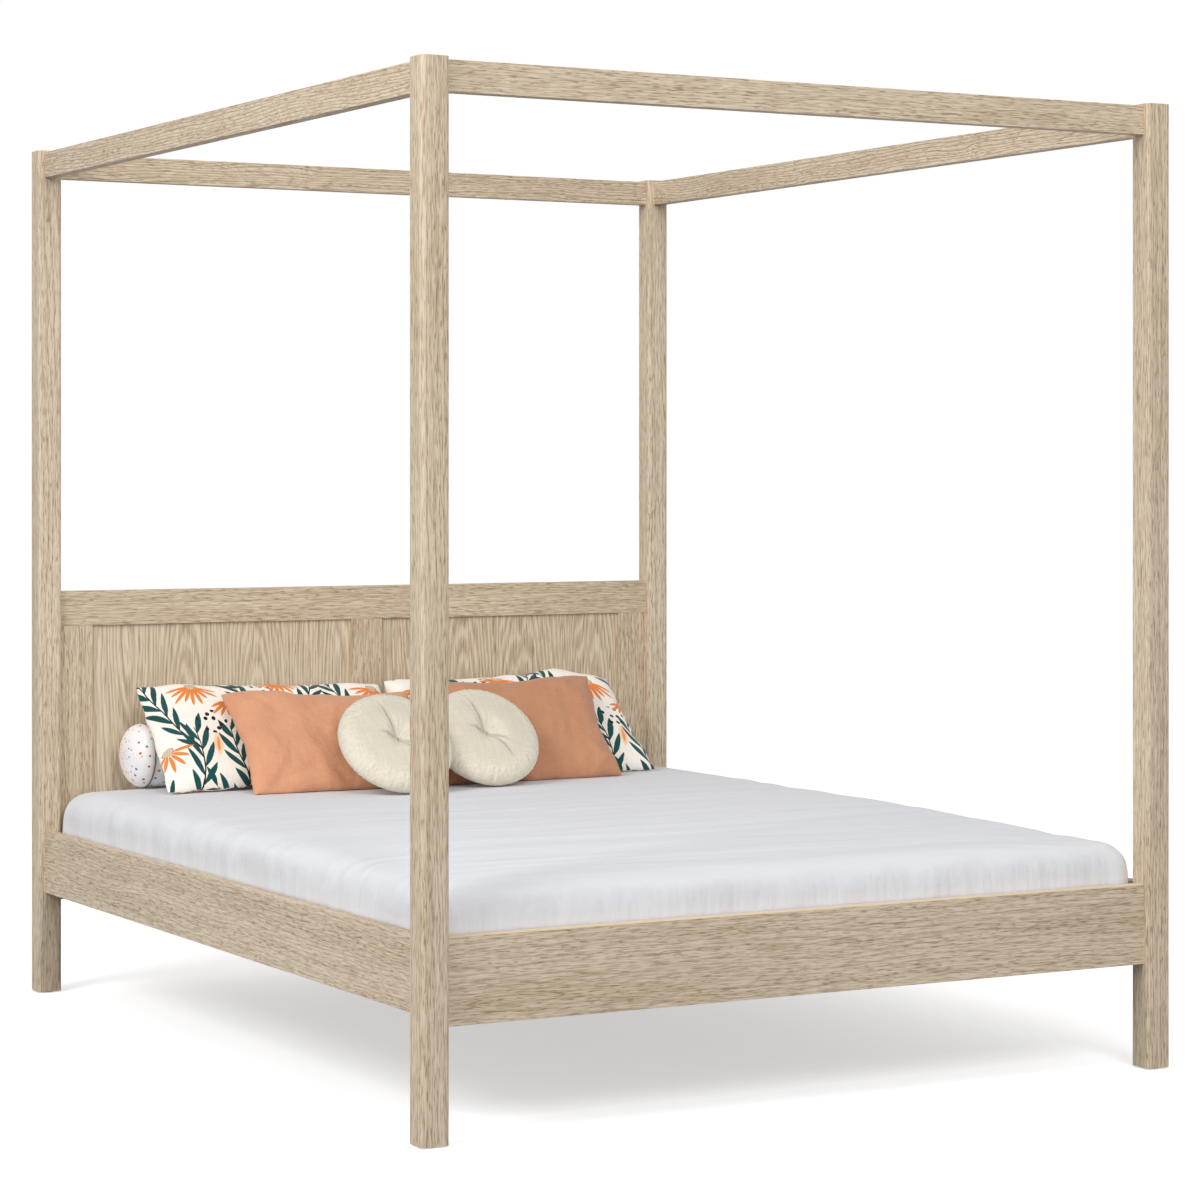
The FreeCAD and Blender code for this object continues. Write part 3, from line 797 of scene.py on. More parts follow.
@dataclass(frozen=True)
class LeafPrint:
    """A repeating botanical print: dark sprigs, orange blooms, seed dots and pale buds on cream.

    Every motif is a signed distance worked out from the cloth's flat coordinates, wrapped round the motif's
    own middle so that the repeat has no seam.
    """

    name: str = "leaf_print"
    repeat: Pair = (0.470, 0.350)
    soft: float = 0.4 * MM
    cream: Colour = paint(252, 246, 236)
    leaf_ink: Colour = paint(18, 76, 74)
    stem_ink: Colour = paint(18, 20, 22)
    petal_ink: Colour = paint(232, 134, 60)
    dome_ink: Colour = paint(206, 190, 166)
    bud_ink: Colour = paint(250, 214, 178)
    sprigs: Tuple[Sprig, ...] = (
        Sprig((0.058, 0.205), 114.0, 0.250, 1.0),
        Sprig((0.118, 0.062), 82.0, 0.190, -1.4, leaf=86 * MM),
        Sprig((0.212, 0.068), 97.0, 0.180, 1.2, leaf=80 * MM, width=15 * MM),
        Sprig((0.300, 0.160), 108.0, 0.270, -0.8, leaf=84 * MM),
        Sprig((0.376, 0.060), 80.0, 0.180, 1.2),
        Sprig((0.430, 0.235), 64.0, 0.210, -1.2, leaf=74 * MM),
        Sprig((0.205, 0.312), 150.0, 0.150, 1.0, leaf=66 * MM),
    )
    blooms: Tuple[Bloom, ...] = (
        Bloom((0.140, 0.272), -94.0),
        Bloom((0.226, 0.228), -80.0, petal=58 * MM),
        Bloom((0.040, 0.098), -66.0, petal=58 * MM, petals=6),
        Bloom((0.370, 0.300), -104.0, petal=56 * MM),
    )
    dots: Tuple[Pair, ...] = ((0.168, 0.172), (0.322, 0.268))
    buds: Tuple[Tuple[float, float, float], ...] = ((0.168, 0.112, 80.0), (0.440, 0.090, 100.0))

    def around(self, cloth: List[Signal], middle: Sequence[float], heading: float) -> Tuple[Signal, Signal]:
        """The cloth's coordinates from a motif's middle, turned to its heading and wrapped by the repeat.

        Args:
            cloth: the flat coordinates.
            middle: the motif's middle.
            heading: the motif's direction, in degrees.

        Returns:
            The place along the heading and the place across it.
        """
        wide, tall = self.repeat
        du = (((cloth[0] - middle[0]) / wide + 0.5).fraction() - 0.5) * wide
        dv = (((cloth[1] - middle[1]) / tall + 0.5).fraction() - 0.5) * tall
        turn = math.radians(heading)
        return (du * math.cos(turn) + dv * math.sin(turn), dv * math.cos(turn) - du * math.sin(turn))

    def sprig(self, cloth: List[Signal], shape: Sprig) -> Tuple[Signal, Signal]:
        """Leaves in slanting cells along a bent stem.

        A cell's line crosses the stem at the leaf's root. Across a leaf the distance is the cell's offset
        times the sine of the splay, and the leaf is as wide as a parabola over its length.

        Args:
            cloth: the flat coordinates.
            shape: the sprig's sizes.

        Returns:
            The mask of the leaves and the mask of the stem.
        """
        along, across = self.around(cloth, shape.middle, shape.heading)
        across = across + along * along * shape.bend
        half = shape.length / 2
        splay = math.radians(shape.splay)
        off = abs(across)
        row = (along - off / math.tan(splay) + across.sign() * (shape.spacing / 4)) / shape.spacing
        cell = (row.fraction() - 0.5) * shape.spacing
        root = (row.floor() + 0.5) * shape.spacing
        reach = cell * math.cos(splay) + off / math.sin(splay)
        full = shape.leaf * (1 - abs(root) * (0.30 / half))
        share = reach / full
        wide = share * (1 - share) * (2 * shape.width)
        inside = (wide - abs(cell) * math.sin(splay)).step(-self.soft, self.soft)
        kept = abs(root).step(half - 1 * MM, half, 1.0, 0.0)
        taper = along / half
        stem = (1.7 * MM - off - taper * (0.6 * MM)).step(-self.soft, self.soft)
        stem = stem * abs(along).step(half, half + 1 * MM, 1.0, 0.0)
        return inside * kept, stem

    def bloom(self, cloth: List[Signal], shape: Bloom) -> Tuple[Signal, Signal, Signal]:
        """Petals in polar cells on one side of a domed centre.

        Args:
            cloth: the flat coordinates.
            shape: the flower's sizes.

        Returns:
            The masks of the petals, the dome and the dome's outline.
        """
        along, across = self.around(cloth, shape.middle, shape.heading)
        along = along * 1.25
        radius = (along * along + across * across).root()
        angle = along.math("ARCTAN2", across, along)
        pitch = math.radians(2 * shape.fan) / shape.petals
        row = angle / pitch + (0.5 if shape.petals % 2 else 0.0)
        number = row.floor()
        local = (row.fraction() - 0.5) * pitch
        longer = shape.petal * (0.90 + (number * 2.4 + shape.heading).sine() * 0.11)
        share = (radius - 3 * MM) / longer
        blunt = abs(share * 2 - 1.15) ** 3
        wide = (1 - blunt) * (shape.width / 2)
        inside = (wide - abs(radius * local)).step(-self.soft, self.soft)
        middle = (number + (0.5 if shape.petals % 2 == 0 else 0.0)) * pitch
        kept = abs(middle).step(math.radians(shape.fan) - 0.02, math.radians(shape.fan), 1.0, 0.0)
        petals = inside * kept * share.step(0.0, 0.02) * share.step(1.08, 1.10, 1.0, 0.0)
        back = along + 4 * MM
        dome = (back * back * 1.9 + across * across).root()
        filled = dome.step(15 * MM, 15.6 * MM, 1.0, 0.0)
        outline = abs(dome - 14.4 * MM).step(0.6 * MM, 1.2 * MM, 1.0, 0.0)
        return petals, filled, outline

    def material(self) -> Material:
        """The print as a material."""
        recipe = Recipe(self.name)
        weave = Weave(0.8 * MM, 0.3 * MM, 0.8 * MM, 0.03)
        threads, slubs = weave.height(recipe)
        cloth = recipe.split(recipe.cloth())[:2]
        wobble = recipe.noise(recipe.cloth(), 90.0, 1.0)
        cloth = [cloth[0] + (wobble - 0.5) * (2.2 * MM), cloth[1] + (0.5 - wobble) * (2.2 * MM)]
        colour: Ink = recipe.mix(slubs.step(0.3, 0.7), paint(244, 237, 226), self.cream)
        for middle_u, middle_v, heading in self.buds:
            along, across = self.around(cloth, (middle_u, middle_v), heading)
            share = along / (66 * MM) + 0.5
            wide = share * (1 - share) * (46 * MM) - abs(across)
            colour = recipe.mix(wide.step(-self.soft, self.soft), colour, self.bud_ink)
            colour = recipe.mix((wide - 7.0 * MM).step(-self.soft, self.soft) * 0.8, colour, self.petal_ink)
        for shape in self.sprigs:
            leaves, stem = self.sprig(cloth, shape)
            colour = recipe.mix(leaves, colour, self.leaf_ink)
            colour = recipe.mix(stem, colour, self.stem_ink)
        flat = recipe.join(cloth[0], cloth[1])
        inputs = {"Vector": flat, "Scale": 1 / (21 * MM), "Randomness": 0.8}
        seeds = recipe.node("ShaderNodeTexVoronoi", {"voronoi_dimensions": "2D"}, inputs, "Distance")
        seed = (seeds * (21 * MM)).step(4.8 * MM, 5.5 * MM, 1.0, 0.0)
        for middle in self.dots:
            along, across = self.around(cloth, middle, 0.0)
            near = (along * along + across * across * 1.6).root()
            colour = recipe.mix(seed * near.step(38 * MM, 40 * MM, 1.0, 0.0), colour, self.stem_ink)
        for flower in self.blooms:
            petals, dome, outline = self.bloom(cloth, flower)
            colour = recipe.mix(petals, colour, self.petal_ink)
            colour = recipe.mix(dome, colour, self.dome_ink)
            colour = recipe.mix(outline * 0.6, colour, paint(110, 84, 60))
        normal = weave.normal(recipe, threads, slubs)
        return recipe.finish(colour, 0.86, normal, Sheen_Weight=0.2, Specular_IOR_Level=0.2)


# ------------------------------------------------------------------------------
# Mesh toolkit


def lattice(rows: int, columns: int, start: int = 0, closed: bool = False) -> Array:
    """The quads of a grid of points that are numbered row by row.

    Args:
        rows, columns: how many points each way.
        start: the first point's number.
        closed: whether the last column joins the first.

    Returns:
        Four point numbers a quad.
    """
    across = columns if closed else columns - 1
    i, j = np.meshgrid(np.arange(rows - 1), np.arange(across), indexing="ij")
    near, far = i * columns, (i + 1) * columns
    after = (j + 1) % columns
    return start + np.stack([near + j, near + after, far + after, far + j], -1).reshape(-1, 4)


def make_piece(name: str, points: Array, quads: Array, triangles: Optional[Array] = None,
               cloth: Optional[Array] = None) -> Piece:
    """Makes a smooth mesh object from whole arrays.

    Args:
        name: the piece's name.
        points: one row of three numbers a point.
        quads, triangles: point numbers of the faces.
        cloth: flat cloth coordinates, one row a point or one row a face corner.

    Returns:
        The object, at the origin.
    """
    triangles = np.zeros((0, 3), int) if triangles is None else triangles
    corners = np.concatenate([quads.ravel(), triangles.ravel()]).astype(np.int32)
    starts = np.concatenate([np.arange(len(quads)) * 4, len(quads) * 4 + np.arange(len(triangles)) * 3])
    mesh = bpy.data.meshes.new(name)
    mesh.vertices.add(len(points))
    mesh.vertices.foreach_set("co", points.astype(np.float32).ravel())
    mesh.loops.add(len(corners))
    mesh.loops.foreach_set("vertex_index", corners)
    mesh.polygons.add(len(starts))
    mesh.polygons.foreach_set("loop_start", starts.astype(np.int32))
    mesh.polygons.foreach_set("use_smooth", np.ones(len(starts), bool))
    mesh.update(calc_edges=True)
    if cloth is not None:
        flat = cloth[corners] if len(cloth) == len(points) else cloth
        mesh.uv_layers.new(name="cloth").data.foreach_set("uv", flat.astype(np.float32).ravel())
    piece = bpy.data.objects.new(name, mesh)
    bpy.context.scene.collection.objects.link(piece)
    return piece


def ring_tube(middle: Array, out: Array, axis: Sequence[float], radius: Union[float, Array],
              sides: int) -> Tuple[Array, Array]:
    """A closed tube round a ring.

    Each point is the ring's point plus the radius times the cosine of the turn outwards and its sine along
    the axis.

    Args:
        middle: the ring's points.
        out: each point's outward direction.
        axis: the direction that the outward ones are square to.
        radius: the tube's radius, one value or one a point.
        sides: how many sides the tube has.

    Returns:
        The tube's points and its quads.
    """
    turn = np.linspace(0, 2 * math.pi, sides + 1)[:-1]
    across = np.cos(turn)[None, :, None] * out[:, None] + np.sin(turn)[None, :, None] * np.asarray(axis)
    count = len(middle)
    points = middle[:, None] + np.broadcast_to(radius, count)[:, None, None] * across
    i, j = np.meshgrid(np.arange(count), np.arange(sides), indexing="ij")
    i_next, j_next = (i + 1) % count, (j + 1) % sides
    quads = np.stack([i * sides + j, i_next * sides + j, i_next * sides + j_next, i * sides + j_next], -1)
    return points.reshape(-1, 3), quads.reshape(-1, 4)


def read_points(piece: Piece) -> Array:
    """The piece's points, one row each, as its modifiers leave them."""
    shown = piece.evaluated_get(bpy.context.evaluated_depsgraph_get())
    flat = np.zeros(len(shown.data.vertices) * 3, np.float32)
    shown.data.vertices.foreach_get("co", flat)
    return flat.reshape(-1, 3).astype(float)


def write_points(piece: Piece, points: Array) -> None:
    """Puts new places into the piece's own mesh."""
    piece.data.vertices.foreach_set("co", points.astype(np.float32).ravel())
    piece.data.update()


def dress(piece: Piece, material: Material) -> None:
    """Gives the piece one material in place of any others."""
    piece.data.materials.clear()
    piece.data.materials.append(material)


def subdivide(piece: Piece, levels: int = 1) -> None:
    """Adds a Subdivision Surface with the same levels shown and rendered."""
    surface = piece.modifiers.new("smooth", "SUBSURF")
    surface.levels = levels
    surface.render_levels = levels


def ripples(seed: int, points: Array, size: Sequence[float], count: int = 48) -> Array:
    """Smooth seeded noise: the mean of many cosines of random direction and phase, scaled to about -1 to 1.

    Args:
        seed: the random seed.
        points: where to read it, one row a point.
        size: the typical wavelength along each axis, in metres.
        count: how many cosines there are.

    Returns:
        One value a point.
    """
    draw = np.random.default_rng(seed)
    waves = draw.normal(0, 1, (count, points.shape[1])) * (2 * math.pi / np.asarray(size)) * 0.6
    phase = draw.uniform(0, 2 * math.pi, count)
    return np.cos(points @ waves.T + phase).sum(1) / math.sqrt(count / 2)


# ------------------------------------------------------------------------------
# Mattress and fitted sheet


@dataclass
class Slab:
    """A soft rectangular slab: a flat top that runs over a full, rounded edge and down a straight side.

    Its plan is a rectangle with rounded corners. The edge is a superellipse, so that its radius is largest
    where it meets the top. Rings go out from a rectangular top grid, over the edge, down the side and in
    below.
    """

    low: Vector
    high: Vector
    shoulder: float = 0.10
    fullness: float = 3.2
    corner: float = 46 * MM
    foot_radius: float = 18 * MM
    tuck: float = 0.11
    columns: int = 124
    rows: int = 156
    edge_rings: int = 12
    side_rings: int = 13
    foot_rings: int = 5
    tuck_rings: int = 6

    @staticmethod
    def spread(count: int) -> Array:
        """Shares from -1 to 1 that lie closer at the ends than in the middle: 1.25t less 0.25t cubed."""
        share = np.linspace(-1, 1, count + 1)
        return 1.25 * share - 0.25 * share ** 3

    @staticmethod
    def border(numbers: Array) -> Array:
        """The outermost point numbers of a grid, walked anticlockwise from its first one."""
        return np.concatenate([numbers[0, :-1], numbers[:-1, -1], numbers[-1, :0:-1], numbers[:0:-1, 0]])

    def rim(self, half_x: float, half_y: float, radius: float) -> Tuple[Array, Array]:
        """One ring of the plan: a rectangle with rounded corners, walked anticlockwise.

        Each side runs from the middle of one corner arc to the middle of the next, spread so that points lie
        close together at the corners.

        Args:
            half_x, half_y: half the ring's size.
            radius: its corner radius.

        Returns:
            The ring's points and its outward directions, two numbers each.
        """
        places, ways = [], []
        for side in range(4):
            count = self.columns if side % 2 == 0 else self.rows
            half_long, half_short = (half_x, half_y) if side % 2 == 0 else (half_y, half_x)
            straight, arc = half_long - radius, radius * math.pi / 4
            walk = self.spread(count)[:-1] * (straight + arc)
            over = np.clip(np.abs(walk) - straight, 0, None)
            angle = np.sign(walk) * (over / max(radius, 1e-9))
            along = np.clip(walk, -straight, straight) + radius * np.sin(angle)
            out = half_short - radius + radius * np.cos(angle)
            turn = side * math.pi / 2
            cosine, sine = math.cos(turn), math.sin(turn)
            places.append(np.stack([along * cosine + out * sine, along * sine - out * cosine], -1))
            ways.append(np.stack([np.sin(angle) * cosine + np.cos(angle) * sine,
                                  np.sin(angle) * sine - np.cos(angle) * cosine], -1))
        return np.concatenate(places), np.concatenate(ways)

    def profile(self) -> Array:
        """The slab's section from the top grid's edge outwards.

        Returns:
            A row a ring: how far out from the top grid, the height, the corner radius' share, the outward
            and upward parts of the normal, and the distance walked.
        """
        power = 2 / self.fullness
        turn = np.linspace(90, 0, self.edge_rings + 1)[1:] * math.pi / 180
        out = self.shoulder * np.cos(turn) ** power
        drop = self.shoulder * (1 - np.sin(turn) ** power)
        drop[-1] = self.shoulder
        height = self.high.z - drop
        bottom = self.low.z + self.foot_radius
        down = np.linspace(height[-1], bottom, self.side_rings + 1)[1:]
        bend = np.linspace(0, 90, self.foot_rings + 1)[1:] * math.pi / 180
        foot_out = self.shoulder - self.foot_radius * (1 - np.cos(bend))
        foot_height = bottom - self.foot_radius * np.sin(bend)
        inward = foot_out[-1] - np.linspace(0, self.tuck, self.tuck_rings + 1)[1:]
        outs = np.concatenate([out, np.full(len(down), self.shoulder), foot_out, inward])
        heights = np.concatenate([height, down, foot_height, np.full(len(inward), self.low.z)])
        steps = np.hypot(np.diff(outs, prepend=0), np.diff(heights, prepend=self.high.z))
        slope_out = -np.gradient(heights)
        slope_up = np.gradient(outs)
        length = np.hypot(slope_out, slope_up)
        share = np.clip(outs / self.shoulder, 0.12, 1)
        return np.stack([outs, heights, share, slope_out / length, slope_up / length, np.cumsum(steps)], -1)

    def build(self) -> Dict[str, Array]:
        """Works out the slab.

        Returns:
            Its points, normals, flat cloth coordinates and quads, and the numbers of its last ring.
        """
        middle = (np.array(self.low) + np.array(self.high)) / 2
        half_x = (self.high.x - self.low.x) / 2 - self.shoulder
        half_y = (self.high.y - self.low.y) / 2 - self.shoulder
        x, y = self.spread(self.columns) * half_x, self.spread(self.rows) * half_y
        grid_x, grid_y = np.meshgrid(x, y)
        count = grid_x.size
        top = np.stack([grid_x.ravel(), grid_y.ravel(), np.full(count, self.high.z)], -1)
        flat = top[:, :2].copy()
        normal = np.tile([0.0, 0.0, 1.0], (count, 1))
        rings, ways, cloths = [top], [normal], [flat]
        for out, height, share, sideways, upward, walked in self.profile():
            place, way = self.rim(half_x + out, half_y + out, self.corner * share)
            rings.append(np.column_stack([place, np.full(len(place), height)]))
            ways.append(np.column_stack([way * sideways, np.full(len(place), upward)]))
            inner, _ = self.rim(half_x, half_y, 1e-6)
            cloths.append(inner + way * walked)
        points, normals, cloth = np.concatenate(rings), np.concatenate(ways), np.concatenate(cloths)
        border = self.border(np.arange(count).reshape(self.rows + 1, self.columns + 1))
        loop = len(border)
        ring_count = len(rings) - 1
        quads = [lattice(self.rows + 1, self.columns + 1)]
        step = np.roll(np.arange(loop), -1)
        first = count + np.arange(loop)
        quads.append(np.stack([border, first, first[step], border[step]], -1))
        quads.append(lattice(ring_count, loop, count, closed=True)[:, [0, 3, 2, 1]])
        points[:, :2] += middle[:2]
        return {"points": points, "normals": normals, "cloth": cloth, "quads": np.concatenate(quads),
                "last": count + (ring_count - 1) * loop + np.arange(loop)}


@dataclass(frozen=True)
class Crease:
    """A soft fold in the sheet: a rounded ridge along a bent line, which fades at both ends."""

    start: Pair
    end: Pair
    bend: float
    width: float
    height: float

    def lift(self, places: Array) -> Array:
        """The ridge's height over plan or side places.

        A point's share along the chord bends the line by a parabola. The height is a bell across the line
        times a sine window along it.

        Args:
            places: two numbers a point.

        Returns:
            The height at each point.
        """
        start, end = np.array(self.start), np.array(self.end)
        chord = end - start
        length = float(np.hypot(*chord))
        way = chord / length
        off = places - start
        share = off @ way / length
        across = off @ np.array([-way[1], way[0]]) - self.bend * 4 * share * (1 - share)
        window = np.sin(np.clip(share, 0, 1) * math.pi) ** 0.8
        return self.height * np.exp(-(across / self.width) ** 2) * window


@dataclass
class Bed:
    """The mattress and its fitted sheet.

    The sheet's flat size is the mattress' plan, plus a side and a tuck all round, less what its rounded edges
    save.
    """

    body: str = "mattress"
    cover: float = 1.2 * MM
    clearance: float = 0.8 * MM
    foot_sag: float = 13 * MM
    edge_sag: float = 3.0 * MM
    sag_reach: float = 0.30
    hem_radius: float = 1.6 * MM
    edges_save: float = 40 * MM
    corner_cut: float = 0.8
    seed: int = 11
    folds: Tuple[Crease, ...] = (
        Crease((-0.66, -0.80), (0.52, -0.86), 0.012, 14 * MM, 2.6 * MM),
        Crease((-0.50, -0.74), (0.66, -0.78), -0.018, 16 * MM, 2.0 * MM),
        Crease((-0.35, -0.66), (0.70, -0.60), 0.030, 22 * MM, 2.4 * MM),
        Crease((-0.10, -0.90), (0.72, -0.86), 0.016, 12 * MM, 1.8 * MM),
        Crease((-0.70, -0.45), (0.20, -0.52), 0.020, 26 * MM, 1.8 * MM),
        Crease((-0.30, -0.38), (0.74, -0.30), -0.030, 30 * MM, 1.8 * MM),
        Crease((-0.76, -0.12), (0.10, -0.20), 0.026, 30 * MM, 1.5 * MM),
        Crease((-0.20, 0.02), (0.72, 0.06), 0.020, 34 * MM, 1.5 * MM),
        Crease((0.30, -0.95), (0.74, -0.70), 0.040, 16 * MM, 2.2 * MM),
        Crease((-0.74, 0.30), (-0.05, 0.22), 0.030, 32 * MM, 1.2 * MM),
    )
    side_folds: Tuple[Crease, ...] = (
        Crease((-0.75, 0.478), (-0.52, 0.395), 0.020, 9 * MM, 2.2 * MM),
        Crease((-0.30, 0.476), (-0.02, 0.400), 0.018, 10 * MM, 2.0 * MM),
        Crease((0.12, 0.474), (0.42, 0.398), -0.016, 9 * MM, 1.8 * MM),
        Crease((0.48, 0.476), (0.66, 0.392), 0.014, 8 * MM, 2.2 * MM),
        Crease((-0.95, 0.470), (-0.86, 0.395), 0.010, 8 * MM, 2.0 * MM),
    )

    def settle(self, points: Array) -> Array:
        """How far the top has sunk at each point: more at the foot, and towards every edge."""
        low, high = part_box("fitted_sheet")
        inset_x = np.minimum(points[:, 0] - low.x, high.x - points[:, 0])
        inset_foot = points[:, 1] - low.y
        inset_head = high.y - points[:, 1]
        side = (1 - smooth(inset_x, 0.05, self.sag_reach)) * self.edge_sag
        head = (1 - smooth(inset_head, 0.05, 0.2)) * self.edge_sag
        foot = (1 - smooth(inset_foot, 0.02, 0.9)) * self.foot_sag
        height = smooth(points[:, 2], low.z + 0.06, high.z - 0.01)
        return (1.0 * MM + side + head + foot) * height

    def wrinkle(self, points: Array, normals: Array) -> Array:
        """The sheet's folds as a height along the normal.

        Args:
            points, normals: the smooth slab.

        Returns:
            The height at each point.
        """
        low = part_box("fitted_sheet")[0]
        upward = smooth(normals[:, 2], 0.55, 0.98)
        level = sum(crease.lift(points[:, :2]) for crease in self.folds)
        level = level * 1.7 + 1.1 * MM * ripples(self.seed, points[:, :2], (0.60, 0.12))
        quiet = 1 - 0.75 * smooth(points[:, 1], 0.30, 0.62)
        top = upward * quiet * level
        beside = (1 - upward) * smooth(points[:, 2], low.z + 0.085, low.z + 0.135)
        foot = smooth(-normals[:, 1], 0.6, 0.9)
        walk = np.where(np.abs(normals[:, 0]) > np.abs(normals[:, 1]), points[:, 1], points[:, 0])
        line = np.column_stack([walk, points[:, 2]])
        ribs = 0.45 * MM * ripples(self.seed + 1, line, (0.050, 0.5), 64)
        drape = 1.7 * MM * ripples(self.seed + 2, line, (0.17, 0.20))
        curves = sum(crease.lift(line) for crease in self.side_folds) * (1 - 0.6 * foot)
        return top + beside * (ribs + drape + curves)

    def build(self, sheet_finish: SheetCotton, ticking_finish: Ticking) -> None:
        """Builds the sheet, its elastic hem and the mattress inside it.

        Args:
            sheet_finish: the sheet's cotton.
            ticking_finish: the mattress' cover.
        """
        low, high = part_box("fitted_sheet")
        shape = Slab(low, high)
        made = shape.build()
        points = made["points"]
        points = points + made["normals"] * self.wrinkle(points, made["normals"])[:, None]
        points[:, 2] -= self.settle(points)
        points[:, 2] = np.minimum(points[:, 2], high.z + 1.5 * MM)
        sheet = make_piece("fitted_sheet_cotton", points, made["quads"], cloth=made["cloth"])
        wall = sheet.modifiers.new("cloth_thickness", "SOLIDIFY")
        wall.thickness = self.cover * 0.6
        wall.offset = -1
        dress(sheet, sheet_finish.material())
        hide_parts("fitted_sheet")
        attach(sheet, self.body)
        hem = self.build_hem(points[made["last"]])
        dress(hem, sheet.data.materials[0])
        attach(hem, self.body)
        self.build_mattress(low, high, ticking_finish)

    def build_hem(self, edge: Array) -> Piece:
        """The elastic hem: a thin tube along the sheet's last ring, gathered by a ripple in its radius.

        Args:
            edge: the ring's points.

        Returns:
            The hem.
        """
        ahead = np.roll(edge, -1, 0) - np.roll(edge, 1, 0)
        ahead /= np.linalg.norm(ahead, axis=1)[:, None]
        up = (0.0, 0.0, 1.0)
        side = np.cross(ahead, up)
        side /= np.linalg.norm(side, axis=1)[:, None]
        radius = self.hem_radius * (1 + 0.25 * np.sin(np.arange(len(edge)) * 1.9))
        points, quads = ring_tube(edge, side, up, radius, 8)
        return make_piece("fitted_sheet_hem", points, quads, cloth=points[:, :2])

    def build_mattress(self, low: Vector, high: Vector, finish: Ticking) -> None:
        """The mattress: the same slab, smaller by the sheet, and closed below.

        Args:
            low, high: the corners of the made bed.
            finish: its cover.
        """
        gap = Vector([self.cover + self.clearance + 2.6 * MM] * 3)
        gap.z = self.cover
        shape = Slab(low + gap, high - gap, columns=60, rows=76, edge_rings=8, side_rings=6, foot_rings=4,
                     tuck_rings=3, tuck=0.0999 - 18 * MM)
        made = shape.build()
        points = made["points"].copy()
        points[:, 2] -= self.settle(points) + 3.0 * MM * smooth(points[:, 2], low.z + 0.1, high.z - 0.02)
        last = points[made["last"]]
        count = len(points)
        floor_z = float(last[:, 2].min())
        half_x, half_y = float(np.abs(last[:, 0]).max()), float(np.abs(last[:, 1]).max())
        grid_x, grid_y = np.meshgrid(shape.spread(shape.columns) * half_x, shape.spread(shape.rows) * half_y)
        below = np.stack([grid_x.ravel(), grid_y.ravel(), np.full(grid_x.size, floor_z)], -1)
        numbers = count + np.arange(grid_x.size).reshape(shape.rows + 1, shape.columns + 1)
        border = shape.border(numbers)
        points = np.concatenate([points, below])
        join = np.arange(count + grid_x.size)
        join[border] = made["last"]
        bottom = join[lattice(shape.rows + 1, shape.columns + 1, count)[:, ::-1]]
        quads = np.concatenate([made["quads"], bottom])
        used, packed = np.unique(quads, return_inverse=True)
        piece = make_piece("mattress_body", points[used], packed.reshape(-1, 4))
        dress(piece, finish.material())
        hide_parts("mattress")
        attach(piece, self.body)


def sheet_height(x: float, y: float) -> float:
    """The height of the made bed's top at a place, without its folds."""
    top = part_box("fitted_sheet")[1].z
    return float(top - Bed().settle(np.array([[x, y, top]]))[0])


# ------------------------------------------------------------------------------
# Bolster


